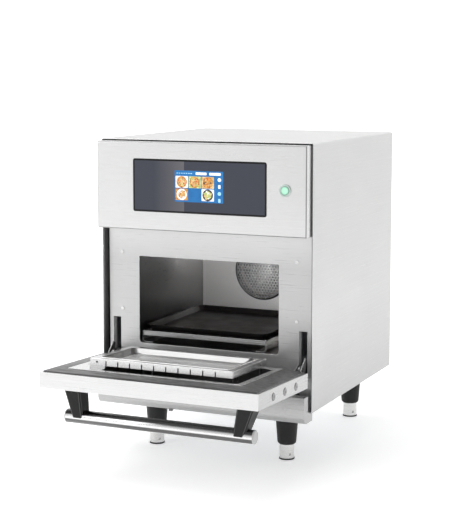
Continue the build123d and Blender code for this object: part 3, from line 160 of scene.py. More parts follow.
def spread(tree, value, low, high, fromLow=0.0, fromHigh=1.0):
    # what lies from fromLow to fromHigh comes out from low to high
    node = tree.nodes.new("ShaderNodeMapRange")
    link(tree, value, node.inputs["Value"])
    ends = {"From Min": fromLow, "From Max": fromHigh, "To Min": low, "To Max": high}
    for name, end in ends.items():
        if isinstance(end, (int, float)):
            node.inputs[name].default_value = end
        else:
            link(tree, end, node.inputs[name])
    return node.outputs["Result"]


def objectPlace(tree):
    return tree.nodes.new("ShaderNodeTexCoord").outputs["Object"]


def bumpInto(tree, shader, height, strength, distance):
    bump = tree.nodes.new("ShaderNodeBump")
    bump.inputs["Strength"].default_value = strength
    bump.inputs["Distance"].default_value = distance
    link(tree, height, bump.inputs["Height"])
    link(tree, bump.outputs["Normal"], shader.inputs["Normal"])


def plainSockets(node, values):
    for name, value in values.items():
        node.inputs[name].default_value = value


def opaque(tone):
    # a grey is one number, a colour three
    return (tone, tone, tone, 1) if isinstance(tone, float) else (*tone, 1)


# shader groups that many finishes share
def socketsOf(tree, side, sockets):
    for name, kind, value in sockets:
        made = tree.interface.new_socket(name=name, in_out=side, socket_type="NodeSocket" + kind)
        if value is not None:
            made.default_value = value


def newGroup(name, inputs):
    tree = bpy.data.node_groups.new(name, "ShaderNodeTree")
    socketsOf(tree, "INPUT", inputs)
    socketsOf(tree, "OUTPUT", [
        ("Color", "Color", None), ("Roughness", "Float", None), ("Height", "Float", None)])
    return tree, tree.nodes.new("NodeGroupInput"), tree.nodes.new("NodeGroupOutput")


def makeBrushedGroup():
    # long fine scratches with slow clouds of tone over them
    look = {"fine": (1.0, 5.0, 0.65), "fineRange": (0.28, 0.72),
            "cloud": (7.0, 2.0, 0.5), "cloudRange": (0.3, 0.7)}
    tree, start, end = newGroup("brushedSheet", [
        ("Vector", "Vector", None), ("Stretch", "Vector", None),
        ("Light", "Color", opaque(0.8)), ("Dark", "Color", opaque(0.6)),
        ("Smooth", "Float", 0.25), ("Rough", "Float", 0.4), ("Clouds", "Float", 0.35)])
    vector = start.outputs["Vector"]
    pull = tree.nodes.new("ShaderNodeVectorMath")
    pull.operation = "MULTIPLY"
    link(tree, vector, pull.inputs[0])
    link(tree, start.outputs["Stretch"], pull.inputs[1])
    fine = noiseNode(tree, pull.outputs[0], *look["fine"])
    fine = spread(tree, fine, 0.0, 1.0, *look["fineRange"])
    cloud = noiseNode(tree, vector, *look["cloud"])
    cloud = spread(tree, cloud, 0.0, 1.0, *look["cloudRange"])
    mixed = tree.nodes.new("ShaderNodeMix")
    mixed.data_type = "FLOAT"
    link(tree, start.outputs["Clouds"], mixed.inputs[0])
    link(tree, fine, mixed.inputs[2])
    link(tree, cloud, mixed.inputs[3])
    tone = mixColour(tree, mixed.outputs[0], start.outputs["Dark"], start.outputs["Light"])
    rough = spread(tree, fine, start.outputs["Rough"], start.outputs["Smooth"])
    link(tree, tone, end.inputs["Color"])
    link(tree, rough, end.inputs["Roughness"])
    link(tree, fine, end.inputs["Height"])
    return tree


def makeGrainGroup():
    # moulded or sprayed surface: small grains, slow tone, a little dust
    look = {"slow": (24.0, 4.0, 0.6), "slowRange": (0.35, 0.68), "grainRange": (0.05, 0.75)}
    tree, start, end = newGroup("mouldGrain", [
        ("Vector", "Vector", None), ("Scale", "Float", 900.0),
        ("Base", "Color", opaque(0.03)), ("Speck", "Color", opaque(0.06)),
        ("Smooth", "Float", 0.35), ("Rough", "Float", 0.55)])
    vector = start.outputs["Vector"]
    cells = tree.nodes.new("ShaderNodeTexVoronoi")
    link(tree, vector, cells.inputs["Vector"])
    link(tree, start.outputs["Scale"], cells.inputs["Scale"])
    slow = spread(tree, noiseNode(tree, vector, *look["slow"]), 0.0, 1.0, *look["slowRange"])
    grain = spread(tree, cells.outputs["Distance"], 1.0, 0.0, *look["grainRange"])
    mask = mathNode(tree, "MULTIPLY", slow, grain)
    tone = mixColour(tree, mask, start.outputs["Base"], start.outputs["Speck"])
    rough = spread(tree, slow, start.outputs["Smooth"], start.outputs["Rough"])
    link(tree, tone, end.inputs["Color"])
    link(tree, rough, end.inputs["Roughness"])
    link(tree, grain, end.inputs["Height"])
    return tree


groups = {"brushed": makeBrushedGroup(), "grain": makeGrainGroup()}
bumpDepth = {"brushed": 0.0002, "grain": 0.0003}


def blankMaterial(name):
    material = bpy.data.materials.new(name)
    material.use_nodes = True
    tree = material.node_tree
    return material, tree, tree.nodes["Principled BSDF"]


def groupMaterial(name, kind, values, bump, plain, fade=None):
    # a shared group with this finish's own values
    material, tree, shader = blankMaterial(name)
    group = tree.nodes.new("ShaderNodeGroup")
    group.node_tree = groups[kind]
    place = objectPlace(tree)
    link(tree, place, group.inputs["Vector"])
    plainSockets(group, values)
    tone = group.outputs["Color"]
    # painted shade: the tone darkens towards the bottom of the part
    if fade:  # height where it starts, where it ends, share of the tone left there
        split = tree.nodes.new("ShaderNodeSeparateXYZ")
        link(tree, place, split.inputs[0])
        share = spread(tree, split.outputs["Z"], 1.0, fade[2], fade[0], fade[1])
        tone = mixColour(tree, share, (0, 0, 0, 1), tone)
    link(tree, tone, shader.inputs["Base Color"])
    link(tree, group.outputs["Roughness"], shader.inputs["Roughness"])
    bumpInto(tree, shader, group.outputs["Height"], bump, bumpDepth[kind])
    plainSockets(shader, plain)
    return material


def brushedMaterial(name, stretch, light, dark, smooth, rough,
                    clouds=0.35, bump=0.05, metallic=1.0, fade=None):
    values = {"Stretch": stretch, "Light": opaque(light), "Dark": opaque(dark),
              "Smooth": smooth, "Rough": rough, "Clouds": clouds}
    return groupMaterial(name, "brushed", values, bump, {"Metallic": metallic}, fade)


def grainMaterial(name, scale, base, speck, smooth, rough,
                  bump=0.15, metallic=0.0, specular=0.5):
    values = {"Scale": scale, "Base": opaque(base), "Speck": opaque(speck),
              "Smooth": smooth, "Rough": rough}
    plain = {"Metallic": metallic, "Specular IOR Level": specular}
    return groupMaterial(name, "grain", values, bump, plain)


# scratches along X, along Y, and without a direction
alongX, alongY = (9.0, 1500.0, 1500.0), (1500.0, 9.0, 1500.0)
even200, even300, even400, even500 = ((size,) * 3 for size in (200, 300, 400, 500))
alongWall = (900, 30, 900)
brushedFinishes = {  # stretch, light, dark, smooth, rough, clouds, bump, metallic, fade
    "panelSteel": (alongX, 0.79, 0.72, 0.24, 0.36),
    # the last column of the front plate and housing steels paints shade, darker towards their
    # bottoms
    "plateSteel": (alongX, 0.76, 0.68, 0.26, 0.36, 0.35, 0.05, 0.72, (0.455, 0.405, 0.83)),
    "housingSteel": (alongY, 0.65, 0.59, 0.26, 0.36, 0.35, 0.05, 1.0, (0.32, 0.12, 0.81)),
    "doorSteel": (alongX, 0.76, 0.69, 0.2, 0.3),
    # doorSide, a darker copy of the door steel for the door's ends and the bezel's edges, is
    # painted shade
    "doorSide": (alongY, 0.58, 0.51, 0.22, 0.32),
    # coverSteel, a darker copy of the steel for the lower cover, is painted shade and a painted
    # reflection of the shaded floor
    "coverSteel": (alongX, 0.47, 0.40, 0.22, 0.34),
    "panSteel": (alongX, 0.84, 0.70, 0.2, 0.32, 0.5, 0.05, 0.7),
    # panWall, a darker copy of the pan steel for the dish's walls, is painted shade
    "panWall": (alongX, 0.46, 0.36, 0.2, 0.32, 0.5),
    "hingeSteel": (even500, 0.26, 0.17, 0.25, 0.4, 0.5),
    # the dark steel for the panel's bends is a painted reflection
    "bendPaintedReflection": (alongX, 0.36, 0.30, 0.24, 0.36),
    # rackNose, a darker copy of the rack's steel for its front faces, is painted shade
    "rackNose": (alongX, 0.44, 0.36, 0.2, 0.32),
    # edgeSteel, a paler and smoother copy of the steel on softened edges, is a painted highlight
    "edgeSteel": (even300, 0.93, 0.78, 0.14, 0.26),
    # the chamber steel and a dark copy of it: the dark copy, on the side walls and floor, is
    # painted shade
    "chamberSteel": (alongWall, (0.96, 0.95, 0.94), (0.91, 0.90, 0.89), 0.26, 0.34, 0.5, 0.01, 0.8),
    "chamberPaintedShade": (alongWall, (0.095, 0.094, 0.093), (0.080, 0.079, 0.078), 0.26, 0.34, 0.5, 0.01),
    "grilleSteel": (even400, 0.48, 0.42, 0.2, 0.3, 0.3, 0.02, 0.7),
    "galvanised": ((120, 120, 120), (0.68, 0.70, 0.71), (0.50, 0.52, 0.54), 0.30, 0.5, 0.3),
    "sealDark": ((24, 260, 700), 0.20, 0.008, 0.26, 0.46, 0.25, 0.12, 0.3),
    "chrome": (even200, (0.90, 0.90, 0.91), (0.78, 0.78, 0.79), 0.06, 0.14, 0.4, 0.02),
    # bezelChrome's green tint is painted light from the lit button
    "bezelChrome": (even200, (0.66, 0.86, 0.77), (0.50, 0.70, 0.61), 0.12, 0.2, 0.4, 0.02, 0.45),
    "collarSteel": (even300, 0.85, 0.70, 0.3, 0.45, 0.4, 0.05, 0.15),
    "screwHead": (even500, 0.36, 0.27, 0.24, 0.38, 0.4, 0.06),
    "zincScrew": (even500, 0.62, 0.48, 0.24, 0.38, 0.4, 0.06),
    "springSteel": (even400, (0.42, 0.42, 0.43), (0.28, 0.28, 0.29), 0.25, 0.4, 0.4, 0.1),
    "footSteel": ((12, 12, 1500), (0.80, 0.80, 0.79), (0.56, 0.56, 0.55), 0.16, 0.32, 0.35, 0.08),
}
grainFinishes = {  # scale, base, speck, smooth, rough, bump, metallic, specular
    # plasticEdge, a paler copy of the black plastic for the handle brackets' edges, is a painted
    # highlight
    "plasticEdge": (900.0, 0.05, 0.08, 0.3, 0.45),
    "footRubber": (1100.0, 0.012, 0.03, 0.45, 0.6),
    "castAluminium": (500.0, (0.60, 0.61, 0.62), (0.78, 0.78, 0.79), 0.35, 0.5, 0.2, 1.0),
    "blackPlastic": (900.0, 0.008, 0.020, 0.42, 0.6, 0.15, 0.0, 0.32),
    "nonStick": (1400.0, (0.004, 0.0035, 0.0035), (0.011, 0.009, 0.008), 0.38, 0.5, 0.1, 0.0, 0.06),
    "darkIron": (700.0, (0.03, 0.03, 0.033), (0.07, 0.07, 0.075), 0.35, 0.6, 0.2, 0.6),
    "heaterSteel": (600.0, (0.09, 0.08, 0.07), (0.22, 0.19, 0.16), 0.4, 0.65, 0.3, 0.7),
    "handleCap": (900.0, 0.50, 0.62, 0.25, 0.4, 0.1),
    "mineralWool": (260.0, (0.62, 0.56, 0.40), (0.86, 0.82, 0.68), 0.85, 0.95, 0.9),
    "boardGreen": (240.0, (0.015, 0.12, 0.05), (0.03, 0.22, 0.09), 0.3, 0.5, 0.1),
}
finishes = {name: brushedMaterial(name, *values) for name, values in brushedFinishes.items()}
finishes.update({name: grainMaterial(name, *values) for name, values in grainFinishes.items()})


def glassMaterial():
    look = {"halfWide": 0.1437, "halfTall": 0.0502, "middle": 0.5645, "haze": (-0.100, -0.032),
            "tone": (0.056, 0.061, 0.083, 1), "rimTone": (0.003, 0.003, 0.004, 1),
            "hazeTone": (0.170, 0.165, 0.175, 1), "hazeDrift": 5.0, "smear": 60.0}
    material, tree, shader = blankMaterial("blackGlass")
    split = tree.nodes.new("ShaderNodeSeparateXYZ")
    place = objectPlace(tree)
    link(tree, place, split.inputs[0])
    across, height = split.outputs["X"], split.outputs["Z"]
    outX = mathNode(tree, "GREATER_THAN", mathNode(tree, "ABSOLUTE", across), look["halfWide"])
    offset = mathNode(tree, "ABSOLUTE", mathNode(tree, "SUBTRACT", height, look["middle"]))
    outZ = mathNode(tree, "GREATER_THAN", offset, look["halfTall"])
    rim = mathNode(tree, "MAXIMUM", outX, outZ)
    # a pale haze over the left part, strongest beside the screen and fading out to the left
    drift = noiseNode(tree, place, look["hazeDrift"], 2.0)
    haze = spread(tree, across, 0.0, 1.0, *look["haze"])
    left = mathNode(tree, "LESS_THAN", across, look["haze"][1])
    haze = mathNode(tree, "MULTIPLY", haze, left)
    haze = mathNode(tree, "MULTIPLY", haze, spread(tree, drift, 0.7, 1.0, 0.3, 0.7))
    tone = mixColour(tree, haze, look["tone"], look["hazeTone"])
    link(tree, mixColour(tree, rim, tone, look["rimTone"]), shader.inputs["Base Color"])
    smear = spread(tree, noiseNode(tree, place, look["smear"], 4.0), 0.05, 0.11, 0.35, 0.7)
    link(tree, smear, shader.inputs["Roughness"])
    plainSockets(shader, {"IOR": 1.38, "Coat Weight": 0.04, "Coat Roughness": 0.03})
    return material


def lampMaterial():
    look = {"middle": (0.1865, 0.5645), "core": (0.0040, 0.0076), "light": (0.0070, 0.0081),
            "inner": (0.50, 0.90, 0.68, 1), "outer": (0.34, 0.74, 0.54, 1),
            "body": (0.30, 0.46, 0.39, 1), "glow": 0.16}
    material, tree, shader = blankMaterial("lampCap")
    place = objectPlace(tree)
    split = tree.nodes.new("ShaderNodeSeparateXYZ")
    link(tree, place, split.inputs[0])
    squares = []
    for axis, middle in zip("XZ", look["middle"]):
        offset = mathNode(tree, "SUBTRACT", split.outputs[axis], middle)
        squares.append(mathNode(tree, "MULTIPLY", offset, offset))
    away = mathNode(tree, "SQRT", mathNode(tree, "ADD", *squares))
    core = spread(tree, away, 1.0, 0.0, *look["core"])
    glow = spread(tree, away, 1.0, 0.0, *look["light"])
    frost = noiseNode(tree, place, 900.0, 3.0)
    light = mixColour(tree, core, look["outer"], look["inner"])
    link(tree, mixColour(tree, glow, look["body"], light), shader.inputs["Base Color"])
    link(tree, mixColour(tree, glow, (0, 0, 0, 1), light), shader.inputs["Emission Color"])
    link(tree, spread(tree, frost, 0.3, 0.5), shader.inputs["Roughness"])
    bumpInto(tree, shader, frost, 0.1, 0.0002)
    plainSockets(shader, {"Emission Strength": look["glow"]})
    return material


def handleMaterial():
    # a bright bar with a painted reflection: dark bands painted round it above and below its axis,
    # where polished steel would reflect dark surroundings
    look = {"axis": 0.1202, "radius": 0.0135, "bright": (0.84, 0.84, 0.84, 1),
            "dark": (0.055, 0.055, 0.055, 1), "upper": (0.38, 0.56),
            "lowerStart": (-0.22, -0.08), "lowerEnd": (-0.86, -0.80), "lowerDepth": 0.90,
            "stretch": (14, 1800, 1800), "fineRange": (0.3, 0.7)}
    material, tree, shader = blankMaterial("handleSteel")
    place = objectPlace(tree)
    split = tree.nodes.new("ShaderNodeSeparateXYZ")
    link(tree, place, split.inputs[0])
    rise = mathNode(tree, "SUBTRACT", split.outputs["Z"], look["axis"])
    rise = mathNode(tree, "DIVIDE", rise, look["radius"])
    # painted reflection: a dark band over the top of the bar and another below its axis
    upper = spread(tree, rise, 0.0, 1.0, *look["upper"])
    lower = spread(tree, rise, look["lowerDepth"], 0.0, *look["lowerStart"])
    end = spread(tree, rise, 0.0, 1.0, *look["lowerEnd"])
    lower = mathNode(tree, "MULTIPLY", lower, end)
    paintedReflectionBand = mathNode(tree, "MAXIMUM", upper, lower)
    pull = tree.nodes.new("ShaderNodeMapping")
    pull.inputs["Scale"].default_value = look["stretch"]
    link(tree, place, pull.inputs["Vector"])
    fine = noiseNode(tree, pull.outputs[0], 1.0, 4.0, 0.6)
    ripple = spread(tree, fine, -0.08, 0.08, *look["fineRange"])
    paintedReflectionBand = mathNode(tree, "ADD", paintedReflectionBand, ripple, clamp=True)
    link(tree, mixColour(tree, paintedReflectionBand, look["bright"], look["dark"]), shader.inputs["Base Color"])
    link(tree, spread(tree, fine, 0.15, 0.26, *look["fineRange"]), shader.inputs["Roughness"])
    bumpInto(tree, shader, fine, 0.04, 0.0002)
    plainSockets(shader, {"Metallic": 1.0})
    return material


finishes["handleSteel"] = handleMaterial()
finishes["blackGlass"] = glassMaterial()
finishes["lampCap"] = lampMaterial()
print("finishes made:", len(finishes))

# the edge finishes paint light along the softened edges: the pale ones are painted highlights, the
# dark ones on the panel's bends and the bezel are painted shade
nodeLooks = {  # node: (finish, width of the softened edges in mm, their own finish if any)
    "housing_cover": ("housingSteel", 0.4, "edgeSteel"), "base_plate": ("galvanised", 0.3),
    "rear_panel": ("housingSteel", 0.3, "edgeSteel"), "exhaust_hood": ("blackPlastic", 0.4),
    "front_plate": ("plateSteel", 0.35, "edgeSteel"),
    "housing_screws": ("doorSteel", 0.3, "edgeSteel"),
    "control_panel": ("panelSteel", 0.35, "bendPaintedReflection"), "glass_panel": ("blackGlass", 0.25),
    "display_carrier": ("blackPlastic", 0.3), "display": ("blackPlastic", 0.3),
    "control_board": ("boardGreen", 0.1), "button_bezel": ("bezelChrome", 0.5, "doorSide"),
    "button_nut": ("chrome", 0.3), "button_contact": ("blackPlastic", 0.3),
    "power_button": ("lampCap", 0.15), "lower_cover": ("coverSteel", 0.35),
    "air_filter": ("blackPlastic", 0.25), "chamber": ("chamberSteel", 0.3, "edgeSteel"),
    "chamber_blanket": ("mineralWool", 0.8), "grille_ring": ("nonStick", 0.25),
    "fan_grille": ("chamberSteel", 0.0, "edgeSteel"), "fan_duct": ("darkIron", 0.3),
    "fan_wheel": ("darkIron", 0.25), "heater": ("heaterSteel", 0.0),
    "fan_motor": ("darkIron", 0.4), "wave_guide": ("galvanised", 0.3),
    "magnetron": ("castAluminium", 0.3), "transformer": ("darkIron", 0.4),
    "capacitor": ("castAluminium", 0.4), "equipment_shelf": ("galvanised", 0.3),
    "relay_board": ("boardGreen", 0.1), "blower_housing": ("blackPlastic", 0.4),
    "blower_wheel": ("blackPlastic", 0.2), "blower_motor": ("darkIron", 0.4),
    "cable_gland": ("blackPlastic", 0.3), "door_switches": ("blackPlastic", 0.3),
    "leg_cups": ("blackPlastic", 0.8), "door_skin": ("doorSteel", 0.35, "edgeSteel"),
    "side_screws": ("zincScrew", 0.3), "door_seal": ("sealDark", 0.8),
    "door_liner": ("doorSteel", 0.3, "edgeSteel"), "choke": ("doorSteel", 0.25, "edgeSteel"),
    "choke_pan": ("panSteel", 0.3, "edgeSteel"), "choke_posts": ("chrome", 0.2),
    "door_insulation": ("mineralWool", 0.8), "handle_bar": ("handleSteel", 0.0),
    "handle_caps": ("handleCap", 0.3), "rack": ("doorSteel", 0.3, "edgeSteel"),
    "handle_bracket_left": ("blackPlastic", 0.8, "plasticEdge"),
    "handle_bracket_right": ("blackPlastic", 0.8, "plasticEdge"),
    "tray": ("nonStick", 0.3), "hinge_arm_left": ("hingeSteel", 0.3, "edgeSteel"),
    "hinge_arm_right": ("hingeSteel", 0.3, "edgeSteel"), "hinge_links": ("hingeSteel", 0.3),
    "hinge_cases": ("galvanised", 0.25), "hinge_springs": ("springSteel", 0.0),
    "foot_front_left": ("footSteel", 0.3), "foot_front_right": ("footSteel", 0.3),
    "foot_rear_left": ("footSteel", 0.3), "foot_rear_right": ("footSteel", 0.3),
}
# the open door's slope in degrees, and its pivot's Y and Z
doorAxes = {"tilt": 2.57, "pivot": (-0.1275629, 0.2043)}
faceRules = {"padTop": 0.0033, "turned": 0.7, "flat": 0.985, "floorBelow": 0.25,
             "wellBelow": -0.003}


def padFace(face):  # rubber pad under each foot
    return face.center.z < faceRules["padTop"]


def sideFace(face):  # the two narrow ends of the door: their grain runs along them, and their darker tone is painted shade
    return abs(face.normal.x) > faceRules["turned"]


def noseFace(face):  # the rack's front, painted darker as shade
    return face.normal.y < -faceRules["turned"]


def wallFace(face):  # the chamber's two side walls and its floor, which take a dark copy of the chamber steel as painted shade
    low = face.center.z < faceRules["floorBelow"]
    return sideFace(face) or (face.normal.z > faceRules["turned"] and low)


def wellFace(face):  # the well of the door's liner, painted dark as shade in the recess
    tilt = math.radians(doorAxes["tilt"])
    y, z = face.center.y - doorAxes["pivot"][0], face.center.z - doorAxes["pivot"][1]
    return y * math.sin(tilt) + z * math.cos(tilt) < faceRules["wellBelow"]


def bendFace(face):  # rounded bends of the sheet, painted darker as a reflection of dark surroundings
    return max(abs(part) for part in face.normal) < faceRules["flat"]


secondLooks = {  # node: (finish of some of its faces, which faces)
    "foot_front_left": ("footRubber", padFace), "foot_front_right": ("footRubber", padFace),
    "foot_rear_left": ("footRubber", padFace), "foot_rear_right": ("footRubber", padFace),
    "door_skin": ("doorSide", sideFace), "control_panel": ("bendPaintedReflection", bendFace),
    "chamber": ("chamberPaintedShade", wallFace), "rack": ("rackNose", noseFace),
    "door_liner": ("hingeSteel", wellFace),
}
edges = {"join": 0.000002, "flatAngle": 0.6, "sharpAngle": 34, "segments": 2}


def bevelOf(thing, width):
    soft = thing.modifiers.new("softEdge", "BEVEL")
    soft.limit_method = "ANGLE"
    soft.angle_limit = math.radians(edges["sharpAngle"])
    soft.width = width
    soft.segments = edges["segments"]
    return soft


def weighNormals(thing):
    weigh = thing.modifiers.new("weigh", "WEIGHTED_NORMAL")
    weigh.keep_sharp = True


def dressNodes():
    for name, (finish, edge, *other) in nodeLooks.items():
        thing = nodes[name]
        edgeFinish = other[0] if other else finish
        thing.data.materials.clear()
        thing.data.materials.append(finishes[finish])
        thing.data.materials.append(finishes[edgeFinish])
        for face in thing.data.polygons:
            face.material_index = 0
            face.use_smooth = True
        if name in secondLooks:
            second, chosen = secondLooks[name]
            thing.data.materials.append(finishes[second])
            for face in thing.data.polygons:
                if chosen(face):
                    face.material_index = 2
        join = thing.modifiers.new("join", "WELD")
        join.merge_threshold = edges["join"]
        flat = thing.modifiers.new("flat", "DECIMATE")
        flat.decimate_type = "DISSOLVE"
        flat.angle_limit = math.radians(edges["flatAngle"])
        if edge:
            soft = bevelOf(thing, edge * mm)
            soft.use_clamp_overlap = False
            soft.material = -1 if finish == edgeFinish else 1
        weighNormals(thing)


makeCamera()
makeStudio()
print("studio made")
dressNodes()
print("nodes dressed:", len(nodeLooks))


# separate pieces in mesh code
def pieceFrom(name, mesh, body, stands=()):
    thing = bpy.data.objects.new(name, mesh)
    bpy.context.scene.collection.objects.link(thing)
    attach(thing, body)
    if stands:
        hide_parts(*stands)
    return thing


def meshFrom(name, work, materials):
    mesh = bpy.data.meshes.new(name)
    bmesh.ops.recalc_face_normals(work, faces=work.faces)
    work.to_mesh(mesh)
    work.free()
    for material in materials:
        mesh.materials.append(material)
    for face in mesh.polygons:
        face.use_smooth = True
    return mesh


def bridge(work, first, second, index=0):
    # faces between two rings of equal length
    for i in range(len(first)):
        j = (i + 1) % len(first)
        work.faces.new((first[i], first[j], second[j], second[i])).material_index = index


def drawnOut(work, outline, ends, place, closed=True):
    # an outline drawn out from end to end; place() sets each spot
    rows = [[work.verts.new(place(a, b, end)) for a, b in outline] for end in ends]
    bridge(work, *rows)
    if closed:
        for row in rows:
            work.faces.new(row)
    return rows


def softPiece(name, work, finish, body, width):
    thing = pieceFrom(name, meshFrom(name, work, [finishes[finish]]), body)
    bevelOf(thing, width)
    weighNormals(thing)


def thicken(thing, thickness, offset):
    thick = thing.modifiers.new("thick", "SOLIDIFY")
    thick.thickness = thickness
    thick.offset = offset


def roundedPoints(x0, x1, z0, z1, radius, steps=4):
    points = []
    for cx, cz, start in ((x1 - radius, z1 - radius, 0), (x0 + radius, z1 - radius, 90),
                          (x0 + radius, z0 + radius, 180), (x1 - radius, z0 + radius, 270)):
        for i in range(steps + 1):
            turn = math.radians(start + 90 * i / steps)
            points.append((cx + radius * math.cos(turn), cz + radius * math.sin(turn)))
    return points


def discPoints(cx, cz, radius, sides=24):
    turns = [math.tau * i / sides for i in range(sides)]
    return [(cx + radius * math.cos(turn), cz + radius * math.sin(turn)) for turn in turns]


def makeFloor():
    look = {"half": 9.0, "front": -7.0, "curveStart": 3.6, "rise": 6.0, "bend": 2.2, "steps": 12,
            "clouds": (3.0, 2.0)}
    work = bmesh.new()
    profile = [(look["front"], 0.0), (look["curveStart"], 0.0)]
    for step in range(1, look["steps"] + 1):
        turn = math.radians(90 * step / look["steps"])
        profile.append((look["curveStart"] + look["bend"] * math.sin(turn),
                        look["bend"] * (1 - math.cos(turn))))
    profile.append((look["curveStart"] + look["bend"], look["rise"]))
    rows = [[work.verts.new((x, y, z)) for y, z in profile] for x in (-look["half"], look["half"])]
    for i in range(len(profile) - 1):
        work.faces.new((rows[0][i], rows[0][i + 1], rows[1][i + 1], rows[1][i]))
    material, tree, shader = blankMaterial("floorPaper")
    darker = tuple(c * studio["floorDrift"] for c in studio["floorTone"][:3]) + (1,)
    clouds = noiseNode(tree, objectPlace(tree), *look["clouds"])
    link(tree, mixColour(tree, clouds, studio["floorTone"], darker), shader.inputs["Base Color"])
    # painted shadow: the paper glows less under the oven, which paints a soft shadow round it
    away = tree.nodes.new("ShaderNodeVectorMath")
    away.operation = "LENGTH"
    link(tree, objectPlace(tree), away.inputs[0])
    away = away.outputs["Value"]
    glow = spread(tree, away, *studio["floorGlow"], *studio["glowEdge"])
    # far off it looks as white as the sky, which hides the paper's end
    seen = tree.nodes.new("ShaderNodeLightPath").outputs["Is Camera Ray"]
    far = spread(tree, away, 0.0, studio["farGlow"], *studio["farEdge"])
    far = mathNode(tree, "MULTIPLY", seen, far)
    link(tree, mathNode(tree, "ADD", glow, far), shader.inputs["Emission Strength"])
    plainSockets(shader, {"Roughness": 0.7, "Specular IOR Level": 0.25,
                          "Emission Color": (1, 1, 1, 1)})
    floor = bpy.data.objects.new("floor", meshFrom("floor", work, [material]))
    bpy.context.scene.collection.objects.link(floor)


def makeGrille():
    # six-sided cells with a hole in each, over a low dome and a sloping rim
    look = {"centre": (-0.011, 0.347), "outer": 0.0622, "flat": 0.052, "pitch": 0.0070,
            "hole": 0.0030, "domeHole": 0.66, "rimBand": 0.0030, "overhang": 0.45,
            "front": 0.1954, "back": 0.1992, "domeRadius": 0.026, "domeRise": 0.0028,
            "domePower": 0.7, "sheet": 0.0008}

    def level(r):
        if r < look["domeRadius"]:
            dome = math.cos(r / look["domeRadius"] * math.pi / 2) ** look["domePower"]
            return look["front"] - look["domeRise"] * dome
        if r < look["flat"]:
            return look["front"]
        share = min(1.0, (r - look["flat"]) / (look["outer"] - look["flat"]))
        return look["front"] + (look["back"] - look["front"]) * share

    def vertAt(x, z, r):
        return work.verts.new((look["centre"][0] + x, level(r), look["centre"][1] + z))

    work = bmesh.new()
    known = {}

    def corner(x, z):
        r = math.hypot(x, z)
        if r > look["outer"]:
            x, z, r = x * look["outer"] / r, z * look["outer"] / r, look["outer"]
        key = (round(x * 1e6), round(z * 1e6))
        if key not in known:
            known[key] = vertAt(x, z, r)
        return known[key]

    pitch = look["pitch"]
    reach = int(look["outer"] / pitch) + 2
    turns = [math.radians(30 + 60 * i) for i in range(6)]
    for row in range(-reach, reach + 1):
        for column in range(-reach, reach + 1):
            x = (column + (row % 2) / 2) * pitch
            z = row * pitch * math.sin(math.radians(60))
            r = math.hypot(x, z)
            if r > look["outer"] + pitch * look["overhang"]:
                continue
            outline = [corner(x + pitch / math.sqrt(3) * math.cos(t),
                              z + pitch / math.sqrt(3) * math.sin(t)) for t in turns]
            if len(set(outline)) < 3:
                continue
            if r > look["outer"] - look["rimBand"]:
                # no hole in the rim, where corners may fall together
                ring = list(dict.fromkeys(outline))
                if work.faces.get(ring) is None:
                    work.faces.new(ring)
                continue
            hole = look["hole"] * (look["domeHole"] if r < look["domeRadius"] else 1.0)
            inner = []
            for t in turns:
                hx, hz = x + hole * math.cos(t), z + hole * math.sin(t)
                inner.append(vertAt(hx, hz, math.hypot(hx, hz)))
            bridge(work, outline, inner)
    mesh = meshFrom("fanGrilleFine", work, [finishes["grilleSteel"]])
    thing = pieceFrom("fanGrilleFine", mesh, "oven", ["fan_grille"])
    thicken(thing, look["sheet"], 0.0)


def litMaterial(name, low, high, scale, glow):
    material, tree, shader = blankMaterial(name)
    clouds = spread(tree, noiseNode(tree, objectPlace(tree), scale, 3.0), 0.0, 1.0, 0.38, 0.62)
    tone = mixColour(tree, clouds, opaque(low), opaque(high))
    link(tree, tone, shader.inputs["Base Color"])
    link(tree, tone, shader.inputs["Emission Color"])
    plainSockets(shader, {"Emission Strength": glow, "Roughness": 0.12})
    return material


